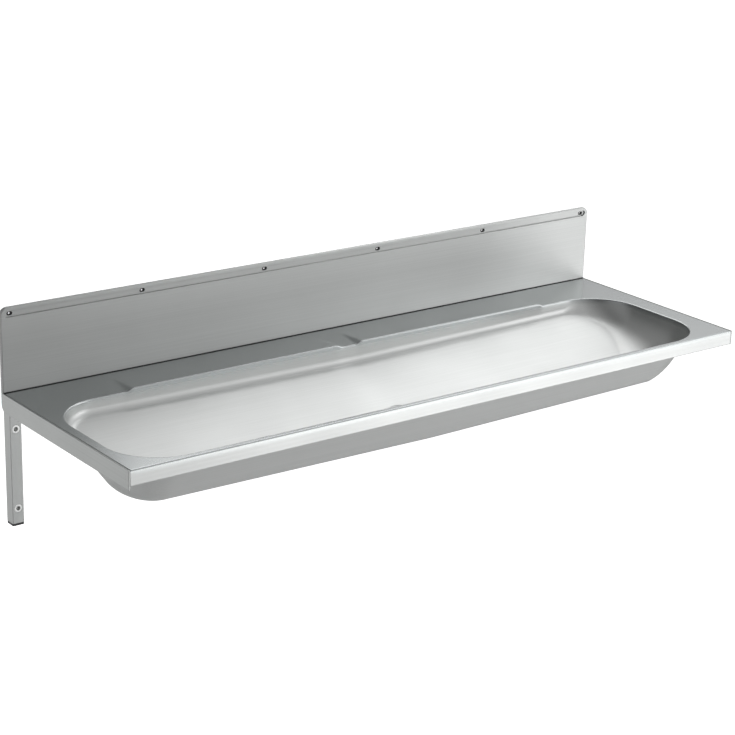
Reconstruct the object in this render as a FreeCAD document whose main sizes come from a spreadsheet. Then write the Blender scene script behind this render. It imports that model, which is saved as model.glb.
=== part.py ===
import FreeCAD, Part
import math
import os
import Sketcher

# Wall-hung stainless steel wash trough.
# Millimetres, +Z up. The wall is the plane y = 0, the user stands at -Y, the deck's top is z = 0
# and x = 0 is the middle of the length.

V = FreeCAD.Vector
doc = FreeCAD.newDocument("trough_sink")
sheet = doc.addObject("Spreadsheet::Sheet", "sizes")

SIZES = [
    # Overall
    ("overall_length", 1200),
    ("overall_depth", 385),
    ("sheet_metal", 1.5),
    # Deck: front apron, side lips and rear flange folded down from it
    ("apron_height", 25),
    ("apron_return", 12),
    ("lip_height", 20),
    ("flange_drop", 24),
    ("flange_end_clearance", 4),
    ("seam_width", 1.5),
    ("seal_recess", 1),
    # Bowl: opening, floor outline and depths
    ("bowl_left_margin", 20),
    ("bowl_right_margin", 41),
    ("front_margin", 10),
    ("tap_ledge_depth", 99),
    ("rim_corner", 88),
    ("floor_corner", 62),
    ("back_depth", 35),
    ("front_depth", 91),
    ("centre_fall", 7),
    ("end_inset", 11),
    ("front_inset", 50),
    ("back_inset", 5),
    ("floor_fillet", 24),
    # Tap platforms: two raised panels that slope up to the bowl's back rim
    ("platform_rise", 4.3),
    ("platform_run", 62),
    ("platform_gap", 58),
    ("platform_length", 387),
    ("platform_flank", 14),
    # Tap ledge stiffener under the deck
    ("stiffener_end_margin", 80),
    ("stiffener_front_margin", 16.5),
    ("stiffener_setback", 30),
    ("stiffener_height", 18),
    # Splashback: shallow pressed tray with a screw groove along its top
    ("splash_height", 136.5),
    ("splash_depth", 5),
    ("splash_sheet", 1.2),
    ("splash_corner", 13),
    ("splash_foot", 26),
    ("groove_top_margin", 6),
    ("groove_height", 9.5),
    ("groove_end_margin", 7),
    ("groove_depth", 2.2),
    ("slot_count", 6),
    ("slot_end_margin", 17),
    ("slot_length", 10),
    ("slot_width", 6),
    ("pilot_hole", 3),
    ("backing_clearance", 0.2),
    ("foot_backing_rise", 14),
    # Brackets: side arm, wall post, through sleeves and end cap
    ("arm_plate", 3),
    ("arm_height", 30),
    ("arm_rear_round", 12),
    ("post_width", 20),
    ("post_depth", 20),
    ("post_wall", 1.5),
    ("post_drop", 212.5),
    ("post_top_clearance", 0.5),
    ("sleeve_diameter", 14),
    ("sleeve_bore", 6.5),
    ("upper_sleeve_drop", 56),
    ("lower_sleeve_drop", 188),
    ("cap_thickness", 4),
    ("cap_plug", 12),
    ("cap_clearance", 0.2),
    # Weld studs with washers and nuts
    ("stud_diameter", 5),
    ("stud_hole", 5.5),
    ("stud_tip", 2),
    ("washer_diameter", 10),
    ("washer_thickness", 1),
    ("nut_flats", 8),
    ("nut_height", 4),
    ("splash_stud_count", 5),
    ("splash_stud_end_margin", 140),
    ("splash_stud_drop", 13),
    ("arm_stud_count", 3),
    ("arm_stud_setback", 80),
    ("arm_stud_front_margin", 65),
    ("arm_stud_drop", 11),
    # Sound-damping pads under the floor
    ("pad_length", 260),
    ("pad_width", 90),
    ("pad_thickness", 2.5),
    ("pad_end_margin", 149.5),
    # Outlet in the lowest part of the floor
    ("outlet_from_front", 127),
    ("recess_radius", 30),
    ("recess_margin", 1),
    ("outlet_hole_radius", 22),
    ("gasket_thickness", 1.5),
    ("flange_radius", 28),
    ("flange_thickness", 2),
    ("spigot_radius", 21),
    ("spigot_bore", 18),
    ("seal_ring_radius", 28),
    ("seal_ring_thickness", 1.5),
    ("lock_nut_flats", 50),
    ("lock_nut_height", 5),
    ("relief_height", 2),
    ("relief_depth", 1.5),
    ("spigot_tip", 8),
    ("strainer_radius", 26),
    ("strainer_thickness", 1.5),
    ("strainer_skirt", 5),
    ("strainer_clearance", 0.5),
    ("strainer_hole", 5),
    ("strainer_hole_circle", 11),
    ("strainer_hole_count", 8),
]

for row, (alias, value) in enumerate(SIZES, start=1):
    sheet.set(f"A{row}", alias.replace("_", " "))
    sheet.set(f"B{row}", str(value))
    sheet.setAlias(f"B{row}", alias)
doc.recompute()

OVERLAP = 1.0
SMALL = 0.02


def val(expression):
    """Number that an expression of sizes gives."""
    return float(sheet.evalExpression(expression))


def size(alias):
    return val(f"sizes.{alias}")


def bind(obj, prop, expression):
    obj.setExpression(prop, expression)


def place(obj, x, y, z):
    """Ties an object's position to expressions of sizes."""
    bind(obj, "Placement.Base.x", x)
    bind(obj, "Placement.Base.y", y)
    bind(obj, "Placement.Base.z", z)


def box(name, length, width, height, x, y, z):
    """Box with its lowest corner at x, y, z."""
    obj = doc.addObject("Part::Box", name)
    bind(obj, "Length", length)
    bind(obj, "Width", width)
    bind(obj, "Height", height)
    place(obj, x, y, z)
    return obj


TURNS = {
    "+Z": FreeCAD.Rotation(),
    "+X": FreeCAD.Rotation(V(0, 1, 0), 90),
    "-X": FreeCAD.Rotation(V(0, 1, 0), -90),
    "-Y": FreeCAD.Rotation(V(1, 0, 0), 90),
}


def cylinder(name, radius, height, x, y, z, axis="+Z"):
    """Cylinder that starts at x, y, z and runs along the axis."""
    obj = doc.addObject("Part::Cylinder", name)
    bind(obj, "Radius", radius)
    bind(obj, "Height", height)
    obj.Placement = FreeCAD.Placement(V(), TURNS[axis])
    place(obj, x, y, z)
    return obj


def hexagon(name, flats, height, x, y, z, axis="+Z"):
    """Hexagonal prism, given its width across flats."""
    obj = doc.addObject("Part::Prism", name)
    obj.Polygon = 6
    bind(obj, "Circumradius", f"({flats}) / sqrt(3)")
    bind(obj, "Height", height)
    obj.Placement = FreeCAD.Placement(V(), TURNS[axis])
    place(obj, x, y, z)
    return obj


def fuse(name, shapes):
    obj = doc.addObject("Part::MultiFuse", name)
    obj.Shapes = shapes
    return obj


def cut(name, base, tool):
    obj = doc.addObject("Part::Cut", name)
    obj.Base = base
    obj.Tool = tool
    return obj


def group(name, shapes):
    """Separate solids of one kind, kept together as one sub-part."""
    obj = doc.addObject("Part::Compound", name)
    obj.Links = shapes
    return obj


def ring(name, outer, inner, height, x, y, z, axis="+Z"):
    body = cylinder(f"{name}_body", outer, height, x, y, z, axis)
    bore = cylinder(f"{name}_bore", inner, height, x, y, z, axis)
    return cut(name, body, bore)


def nut(name, x, y, z, axis):
    body = hexagon(f"{name}_body", "sizes.nut_flats", "sizes.nut_height", x, y, z, axis)
    bore = cylinder(f"{name}_bore", "sizes.stud_diameter / 2", "sizes.nut_height", x, y, z, axis)
    return cut(name, body, bore)


def new_body(label):
    body = doc.addObject("PartDesign::Body", label)
    body.Label = label
    return body


def sketch_on(body, role, name, offset=None):
    """Sketch on one of the body's origin planes, moved along that plane's normal by an expression."""
    sketch = body.newObject("Sketcher::SketchObject", name)
    plane = [f for f in body.Origin.OriginFeatures if f.Role == role][0]
    sketch.AttachmentSupport = [(plane, "")]
    sketch.MapMode = "FlatFace"
    if offset:
        bind(sketch, "AttachmentOffset.Base.z", offset)
    return sketch


def dimension(sketch, name, constraint, expression):
    index = sketch.addConstraint(constraint)
    sketch.renameConstraint(index, name)
    bind(sketch, f"Constraints.{name}", expression)


def rectangle(sketch, name, left, bottom, right, top):
    """Rectangle between two corners, each given by expressions measured from the sketch's origin."""
    first = sketch.GeometryCount
    a, b, c, d = val(left), val(bottom), val(right), val(top)
    corners = [V(a, b, 0), V(c, b, 0), V(c, d, 0), V(a, d, 0)]
    for i in range(4):
        sketch.addGeometry(Part.LineSegment(corners[i], corners[(i + 1) % 4]), False)
    for i in range(4):
        sketch.addConstraint(Sketcher.Constraint("Coincident", first + i, 2, first + (i + 1) % 4, 1))
        sketch.addConstraint(Sketcher.Constraint("Vertical" if i % 2 else "Horizontal", first + i))
    low, high = (first, 1), (first + 2, 1)
    dimension(sketch, f"{name}_left", Sketcher.Constraint("DistanceX", -1, 1, *low, a), left)
    dimension(sketch, f"{name}_bottom", Sketcher.Constraint("DistanceY", -1, 1, *low, b), bottom)
    dimension(sketch, f"{name}_right", Sketcher.Constraint("DistanceX", -1, 1, *high, c), right)
    dimension(sketch, f"{name}_top", Sketcher.Constraint("DistanceY", -1, 1, *high, d), top)


def circle(sketch, name, x, y, radius):
    index = sketch.GeometryCount
    sketch.addGeometry(Part.Circle(V(val(x), val(y), 0), V(0, 0, 1), val(radius)), False)
    dimension(sketch, f"{name}_x", Sketcher.Constraint("DistanceX", -1, 1, index, 3, val(x)), x)
    dimension(sketch, f"{name}_y", Sketcher.Constraint("DistanceY", -1, 1, index, 3, val(y)), y)
    dimension(sketch, f"{name}_radius", Sketcher.Constraint("Radius", index, val(radius)), radius)


def slot(sketch, name, x, y, length, width):
    """Slot with round ends, along the sketch's first axis."""
    half = f"(({length}) - ({width})) / 2"
    first = sketch.GeometryCount
    cx, cy, h, r = val(x), val(y), val(half), val(width) / 2
    up, down = math.pi / 2, 3 * math.pi / 2
    right_end = Part.ArcOfCircle(Part.Circle(V(cx + h, cy, 0), V(0, 0, 1), r), down, down + math.pi)
    left_end = Part.ArcOfCircle(Part.Circle(V(cx - h, cy, 0), V(0, 0, 1), r), up, up + math.pi)
    sketch.addGeometry(Part.LineSegment(V(cx - h, cy - r, 0), V(cx + h, cy - r, 0)), False)
    sketch.addGeometry(right_end, False)
    sketch.addGeometry(Part.LineSegment(V(cx + h, cy + r, 0), V(cx - h, cy + r, 0)), False)
    sketch.addGeometry(left_end, False)
    for i in range(4):
        sketch.addConstraint(Sketcher.Constraint("Tangent", first + i, 2, first + (i + 1) % 4, 1))
    sketch.addConstraint(Sketcher.Constraint("Horizontal", first))
    dimension(sketch, f"{name}_radius", Sketcher.Constraint("Radius", first + 1, r), f"({width}) / 2")
    dimension(sketch, f"{name}_y", Sketcher.Constraint("DistanceY", -1, 1, first + 1, 3, cy), y)
    dimension(sketch, f"{name}_right", Sketcher.Constraint("DistanceX", -1, 1, first + 1, 3, cx + h),
              f"({x}) + {half}")
    dimension(sketch, f"{name}_left", Sketcher.Constraint("DistanceX", -1, 1, first + 3, 3, cx - h),
              f"({x}) - {half}")


def pad(body, sketch, name, length):
    feature = body.newObject("PartDesign::Pad", name)
    feature.Profile = sketch
    bind(feature, "Length", length)
    return feature


def pocket(body, sketch, name, length, reverse=False):
    feature = body.newObject("PartDesign::Pocket", name)
    feature.Profile = sketch
    feature.Reversed = reverse
    bind(feature, "Length", length)
    return feature


def pocket_through(body, sketch, name):
    feature = body.newObject("PartDesign::Pocket", name)
    feature.Profile = sketch
    feature.Type = "ThroughAll"
    feature.Midplane = True
    return feature


def edges_where(feature, test):
    """Names of a feature's edges whose middle point and direction pass a test."""
    names = []
    for i, edge in enumerate(feature.Shape.Edges, start=1):
        middle = edge.valueAt((edge.FirstParameter + edge.LastParameter) / 2)
        along = edge.Vertexes[-1].Point - edge.Vertexes[0].Point
        if along.Length > SMALL and test(middle, along.normalize()):
            names.append(f"Edge{i}")
    return names


def spread(count, span, i):
    """Expression for the place of item i of a row that is centred on zero."""
    return f"(-{span} / 2 + {i} * {span} / (sizes.{count} - 1))"


SIDES = (("left", -1), ("right", 1))
HALF = "sizes.overall_length / 2"
INNER_HALF = f"({HALF} - sizes.arm_plate)"
DECK_BACK = "(sizes.splash_depth + sizes.seam_width)"
FLANGE_HALF = f"({INNER_HALF} - sizes.post_width - sizes.flange_end_clearance)"
FLANGE_FRONT = f"({DECK_BACK} + sizes.sheet_metal)"
BOWL_MIDDLE = "((sizes.bowl_left_margin - sizes.bowl_right_margin) / 2)"
BOWL_HALF = "((sizes.overall_length - sizes.bowl_left_margin - sizes.bowl_right_margin) / 2)"
BOWL_WIDTH = "(sizes.overall_depth - sizes.front_margin - sizes.tap_ledge_depth)"
SPLASH_STUD_SPAN = "(sizes.overall_length - 2 * sizes.splash_stud_end_margin)"
SLOT_SPAN = "(sizes.overall_length - 2 * sizes.slot_end_margin)"
ARM_STUD_SPAN = "(sizes.overall_depth - sizes.arm_stud_setback - sizes.arm_stud_front_margin)"

# Bowl, as two mirrored halves whose floors fall to the front and to the middle
FLOOR_BACK = "(-sizes.tap_ledge_depth - sizes.back_inset)"
FLOOR_RUN = f"({BOWL_WIDTH} - sizes.front_inset - sizes.back_inset)"
FLOOR_SLOPE = f"((sizes.front_depth - sizes.back_depth) / {FLOOR_RUN})"
floor_slope = val(FLOOR_SLOPE)
floor_half = val(f"{BOWL_HALF} - sizes.end_inset")
floor_fall = size("centre_fall") / floor_half
bowl_middle = val(BOWL_MIDDLE)
rim_front = val("sizes.front_margin - sizes.overall_depth")
rim_back = val("-sizes.tap_ledge_depth")
floor_back = val(FLOOR_BACK)


def floor_depth(y):
    """Depth of the floor on the bowl's middle line."""
    return size("back_depth") + size("centre_fall") + (floor_back - y) * floor_slope


def half_outline(end, front, back, radius, to_space):
    """Closed wire around the left half: straight back, end and front with round corners between."""
    lean = radius * (1 - math.sqrt(0.5))
    back_start = to_space(0, back)
    back_corner = to_space(end + radius, back)
    back_middle = to_space(end + lean, back - lean)
    end_start = to_space(end, back - radius)
    end_stop = to_space(end, front + radius)
    front_middle = to_space(end + lean, front + lean)
    front_corner = to_space(end + radius, front)
    front_stop = to_space(0, front)
    edges = [
        Part.LineSegment(back_start, back_corner),
        Part.Arc(back_corner, back_middle, end_start),
        Part.LineSegment(end_start, end_stop),
        Part.Arc(end_stop, front_middle, front_corner),
        Part.LineSegment(front_corner, front_stop),
        Part.LineSegment(front_stop, back_start),
    ]
    return Part.Wire([edge.toShape() for edge in edges])


def bowl_half(grow, headroom):
    """Left half of the bowl as a solid, grown outwards by the sheet, open headroom above its rim."""
    def on_deck(x, y):
        return V(bowl_middle + x, y, 0)

    normal = V(floor_fall, -floor_slope, 1).normalize()
    across = V(0, 1, floor_slope).normalize()
    along = across.cross(normal)
    origin = V(bowl_middle, floor_back, -floor_depth(floor_back)) - normal * grow

    def on_floor(x, y):
        return origin + along * x + across * ((y - floor_back) / across.y)

    end = -val(BOWL_HALF) - grow
    rim = half_outline(end, rim_front - grow, rim_back + grow, size("rim_corner") + grow, on_deck)
    inset_front = rim_front + size("front_inset") - grow
    floor = half_outline(end + size("end_inset"), inset_front, floor_back + grow,
                         size("floor_corner") + grow, on_floor)
    solid = Part.makeLoft([rim, floor], True, True)
    bottom = [e for e in solid.Edges if is_floor_edge(e, origin, normal)]
    solid = solid.makeFillet(size("floor_fillet") + grow, bottom)
    if headroom > 0:
        solid = solid.fuse(Part.Face(rim).extrude(V(0, 0, headroom))).removeSplitter()
    return solid


def is_floor_edge(edge, origin, normal):
    """True for the edges around the floor, apart from the one on the bowl's middle plane."""
    points = [v.Point for v in edge.Vertexes]
    in_floor = all(abs((p - origin).dot(normal)) < SMALL for p in points)
    in_middle = all(abs(p.x - bowl_middle) < SMALL for p in points)
    return in_floor and not in_middle


def bowl_solid(name, grow, headroom):
    left = bowl_half(grow, headroom)
    right = left.mirror(V(bowl_middle, 0, 0), V(1, 0, 0))
    obj = doc.addObject("Part::Feature", name)
    obj.Shape = left.fuse(right).removeSplitter()
    return obj


def platform_section(inner, outer, flank, y, base, rise):
    """Trapezoid across a platform, from one end's foot over its top to the other end's foot."""
    points = [
        V(inner - flank, y, base),
        V(inner - flank, y, base + size("sheet_metal") / 2),
        V(inner, y, base + size("sheet_metal") / 2 + rise),
        V(outer, y, base + size("sheet_metal") / 2 + rise),
        V(outer + flank, y, base + size("sheet_metal") / 2),
        V(outer + flank, y, base),
    ]
    return Part.makePolygon(points + points[:1])


def platform(name, side, drop, front):
    """Raised panel that starts at nothing behind and reaches its full rise at the rim."""
    near = size("platform_gap") / 2
    far = near + size("platform_length")
    inner, outer = (near, far) if side > 0 else (-far, -near)
    run = size("platform_run")
    reach = (rim_back + run - front) / run
    base = -size("sheet_metal") / 2 - drop
    rear = platform_section(inner, outer, SMALL, rim_back + run, base, SMALL)
    rim = platform_section(inner, outer, size("platform_flank") * reach, front, base,
                           size("platform_rise") * reach)
    obj = doc.addObject("Part::Feature", name)
    obj.Shape = Part.makeLoft([rear, rim], True, True)
    return obj


OUTLET_X = BOWL_MIDDLE
OUTLET_Y = "(sizes.outlet_from_front - sizes.overall_depth)"
RECESS_RUN = f"({FLOOR_BACK} - {OUTLET_Y} + sizes.recess_radius)"
RECESS_Z = f"(-sizes.back_depth - sizes.centre_fall - {RECESS_RUN} * {FLOOR_SLOPE} - sizes.recess_margin)"

# Basin: deck, folded edges and bowl, one pressed sheet
deck_length = f"2 * {INNER_HALF}"
deck_left = f"-{INNER_HALF}"
skin = [
    box("deck_top", deck_length, f"sizes.overall_depth - {DECK_BACK}", "sizes.sheet_metal",
        deck_left, "-sizes.overall_depth", "-sizes.sheet_metal"),
    box("front_apron", deck_length, "sizes.sheet_metal", "sizes.apron_height",
        deck_left, "-sizes.overall_depth", "-sizes.apron_height"),
    box("apron_lip", deck_length, "sizes.apron_return", "sizes.sheet_metal",
        deck_left, "-sizes.overall_depth", "-sizes.apron_height"),
    box("rear_flange", f"2 * {FLANGE_HALF}", "sizes.sheet_metal", "sizes.flange_drop",
        f"-{FLANGE_HALF}", f"-{FLANGE_FRONT}", "-sizes.flange_drop"),
    bowl_solid("bowl_skin", size("sheet_metal"), 0),
    cylinder("recess_skin", "sizes.recess_radius + sizes.sheet_metal",
             f"-sizes.back_depth - {RECESS_Z} + sizes.sheet_metal", OUTLET_X, OUTLET_Y,
             f"{RECESS_Z} - sizes.sheet_metal"),
]
lip_back = "(sizes.post_depth + sizes.flange_end_clearance)"
for side_name, side in SIDES:
    lip_x = deck_left if side < 0 else f"{INNER_HALF} - sizes.sheet_metal"
    skin.append(box(f"{side_name}_lip", "sizes.sheet_metal", f"sizes.overall_depth - {lip_back}",
                    "sizes.lip_height", lip_x, "-sizes.overall_depth", "-sizes.lip_height"))
    skin.append(platform(f"{side_name}_platform", side, 0, rim_back - OVERLAP))

voids = [
    bowl_solid("bowl_space", 0, size("platform_rise") + 5 * OVERLAP),
    cylinder("recess_space", "sizes.recess_radius", f"-sizes.back_depth - {RECESS_Z}",
             OUTLET_X, OUTLET_Y, RECESS_Z),
    cylinder("outlet_hole", "sizes.outlet_hole_radius", "2 * sizes.sheet_metal + sizes.recess_margin",
             OUTLET_X, OUTLET_Y, f"{RECESS_Z} - 2 * sizes.sheet_metal"),
]
for side_name, side in SIDES:
    voids.append(platform(f"{side_name}_platform_space", side, size("sheet_metal"),
                          rim_back + size("sheet_metal")))
splash_studs = range(int(size("splash_stud_count")))
arm_studs = range(int(size("arm_stud_count")))


def arm_stud_y(i):
    return f"(-sizes.arm_stud_setback - {i} * {ARM_STUD_SPAN} / (sizes.arm_stud_count - 1))"


for i in splash_studs:
    voids.append(cylinder(f"flange_hole_{i}", "sizes.stud_hole / 2", "3 * sizes.sheet_metal",
                          spread("splash_stud_count", SPLASH_STUD_SPAN, i),
                          f"-{DECK_BACK} + sizes.sheet_metal", "-sizes.splash_stud_drop", "-Y"))
for side_name, side in SIDES:
    for i in arm_studs:
        voids.append(cylinder(f"{side_name}_lip_hole_{i}", "sizes.stud_hole / 2", "3 * sizes.sheet_metal",
                              f"{side} * ({INNER_HALF} + sizes.sheet_metal)", arm_stud_y(i),
                              "-sizes.arm_stud_drop", "-X" if side > 0 else "+X"))

basin = cut("basin", fuse("basin_skin", skin), fuse("basin_voids", voids))

# Tap ledge stiffener: channel on the deck's underside, open towards the deck
stiffener_half = f"({HALF} - sizes.stiffener_end_margin)"
stiffener_y = "(sizes.stiffener_front_margin - sizes.tap_ledge_depth)"
stiffener_width = f"(-{DECK_BACK} - sizes.stiffener_setback - {stiffener_y})"
stiffener = cut(
    "tap_ledge_stiffener",
    box("stiffener_block", f"2 * {stiffener_half}", stiffener_width, "sizes.stiffener_height",
        f"-{stiffener_half}", stiffener_y, "-sizes.sheet_metal - sizes.stiffener_height"),
    box("stiffener_channel", f"2 * {stiffener_half}", f"{stiffener_width} - 2 * sizes.sheet_metal",
        "sizes.stiffener_height + sizes.platform_rise", f"-{stiffener_half}",
        f"{stiffener_y} + sizes.sheet_metal", "-sizes.stiffener_height"))

# Splashback: tray with its edges turned back to the wall, a foot below the deck and a screw groove
GROOVE_TOP = "(sizes.splash_height - sizes.groove_top_margin)"
GROOVE_LOW = f"({GROOVE_TOP} - sizes.groove_height)"
SLOT_Z = f"({GROOVE_TOP} - sizes.groove_height / 2)"


def cut_row(body, sketch, name):
    """Cuts a sketch right through a body and repeats the cut at each wall slot."""
    first = pocket_through(body, sketch, name)
    row = body.newObject("PartDesign::LinearPattern", f"{name}_row")
    row.Originals = [first]
    row.Direction = (sketch, ["H_Axis"])
    bind(row, "Length", SLOT_SPAN)
    bind(row, "Occurrences", "sizes.slot_count")
    body.Tip = row


splash = new_body("splashback")
outline = sketch_on(splash, "XZ_Plane", "splash_outline")
rectangle(outline, "panel", f"-{HALF}", "0", HALF, "sizes.splash_height")
panel = pad(splash, outline, "splash_panel", "sizes.splash_depth")
doc.recompute()
corner_round = splash.newObject("PartDesign::Fillet", "splash_corners")
top_corners = edges_where(panel, lambda m, d: abs(d.y) > 0.9 and m.z > size("splash_height") - SMALL)
corner_round.Base = (panel, top_corners)
bind(corner_round, "Radius", "sizes.splash_corner")
foot_sketch = sketch_on(splash, "XZ_Plane", "splash_foot_outline", "sizes.splash_depth - sizes.splash_sheet")
rectangle(foot_sketch, "foot", f"-{FLANGE_HALF}", "-sizes.splash_foot", FLANGE_HALF, "sizes.splash_sheet")
pad(splash, foot_sketch, "splash_foot", "sizes.splash_sheet")
hollow_sketch = sketch_on(splash, "XZ_Plane", "splash_hollow_outline")
rectangle(hollow_sketch, "hollow", f"-{HALF} + sizes.splash_sheet", "-sizes.splash_sheet",
          f"{HALF} - sizes.splash_sheet", f"{GROOVE_LOW} - sizes.splash_sheet")
pocket(splash, hollow_sketch, "splash_hollow", "sizes.splash_depth - sizes.splash_sheet", True)
seat_sketch = sketch_on(splash, "XZ_Plane", "backing_seat_outline")
groove_half = f"({HALF} - sizes.groove_end_margin)"
rectangle(seat_sketch, "seat", f"-{groove_half}", f"{GROOVE_LOW} - 2 * sizes.splash_sheet",
          groove_half, GROOVE_TOP)
pocket(splash, seat_sketch, "backing_seat",
       "sizes.splash_depth - sizes.groove_depth - sizes.splash_sheet", True)
groove_sketch = sketch_on(splash, "XZ_Plane", "groove_outline", "sizes.splash_depth")
slot(groove_sketch, "groove", "0", SLOT_Z, f"2 * {groove_half}", "sizes.groove_height")
pocket(splash, groove_sketch, "groove", "sizes.groove_depth")
slot_sketch = sketch_on(splash, "XZ_Plane", "wall_slot_outline")
slot(slot_sketch, "slot", f"-{SLOT_SPAN} / 2", SLOT_Z, "sizes.slot_length", "sizes.slot_width")
cut_row(splash, slot_sketch, "wall_slot")

# Backing strips between the splashback and the wall. Screws pierce the rubber one at its pilot holes.
backing_half = f"({groove_half} - sizes.backing_clearance)"
seat_depth = "(sizes.splash_depth - sizes.groove_depth - sizes.splash_sheet)"
top_backing = new_body("top_backing_strip")
strip_sketch = sketch_on(top_backing, "XZ_Plane", "top_strip_outline")
rectangle(strip_sketch, "strip", f"-{backing_half}", f"{GROOVE_LOW} + sizes.backing_clearance",
          backing_half, f"{GROOVE_TOP} - sizes.backing_clearance")
pad(top_backing, strip_sketch, "top_strip", seat_depth)
pilot_sketch = sketch_on(top_backing, "XZ_Plane", "pilot_outline")
circle(pilot_sketch, "pilot", f"-{SLOT_SPAN} / 2", SLOT_Z, "sizes.pilot_hole / 2")
cut_row(top_backing, pilot_sketch, "pilot")
foot_backing = box("foot_backing_strip", f"2 * {FLANGE_HALF}", "sizes.splash_depth - sizes.splash_sheet",
                   "sizes.splash_foot + sizes.foot_backing_rise", f"-{FLANGE_HALF}",
                   "-(sizes.splash_depth - sizes.splash_sheet)", "-sizes.splash_foot")

# Seal in the seam between deck and splashback. Its ends close the gap above the posts.
seal_bar = box("rear_seal_bar", f"2 * {FLANGE_HALF}", "sizes.seam_width",
               "sizes.flange_drop - sizes.seal_recess", f"-{FLANGE_HALF}", f"-{DECK_BACK}",
               "-sizes.flange_drop")
seal_holes = []
for i in splash_studs:
    seal_holes.append(cylinder(f"seal_hole_{i}", "sizes.stud_hole / 2", "3 * sizes.seam_width",
                               spread("splash_stud_count", SPLASH_STUD_SPAN, i),
                               "-sizes.splash_depth + sizes.seam_width", "-sizes.splash_stud_drop", "-Y"))
seal_parts = [seal_bar]
for side_name, side in SIDES:
    seal_x = f"-{INNER_HALF}" if side < 0 else FLANGE_HALF
    seal_length = f"{INNER_HALF} - {FLANGE_HALF}"
    under_deck = "(sizes.sheet_metal + sizes.post_top_clearance)"
    seal_parts.append(box(f"{side_name}_seal_end", seal_length, DECK_BACK,
                          f"{under_deck} - sizes.seal_recess", seal_x, f"-{DECK_BACK}", f"-{under_deck}"))
    seal_parts.append(box(f"{side_name}_seal_step", seal_length, "sizes.splash_depth", "sizes.seal_recess",
                          seal_x, "-sizes.splash_depth", "-sizes.seal_recess"))
rear_seal = cut("rear_seal", fuse("seal_body", seal_parts), fuse("seal_holes", seal_holes))

# Studs on the splashback's foot, with their washers and nuts behind the deck's flange
stud_rows = {"splash_studs": [], "splash_washers": [], "splash_nuts": []}
STACK = "sizes.washer_thickness + sizes.nut_height + sizes.stud_tip"
for i in splash_studs:
    stud_x = spread("splash_stud_count", SPLASH_STUD_SPAN, i)
    stud_z = "-sizes.splash_stud_drop"
    stud_rows["splash_studs"].append(
        cylinder(f"splash_stud_{i}", "sizes.stud_diameter / 2",
                 f"sizes.seam_width + sizes.sheet_metal + {STACK}",
                 stud_x, "-sizes.splash_depth", stud_z, "-Y"))
    stud_rows["splash_washers"].append(
        ring(f"splash_washer_{i}", "sizes.washer_diameter / 2", "sizes.stud_hole / 2",
             "sizes.washer_thickness", stud_x, f"-{FLANGE_FRONT}", stud_z, "-Y"))
    stud_rows["splash_nuts"].append(
        nut(f"splash_nut_{i}", stud_x, f"-{FLANGE_FRONT} - sizes.washer_thickness", stud_z, "-Y"))


def is_low_rear_edge(middle, along):
    """True for an arm's lower edge at the wall."""
    return abs(along.x) > 0.9 and middle.y > -SMALL and middle.z < SMALL - size("arm_height")


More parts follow.
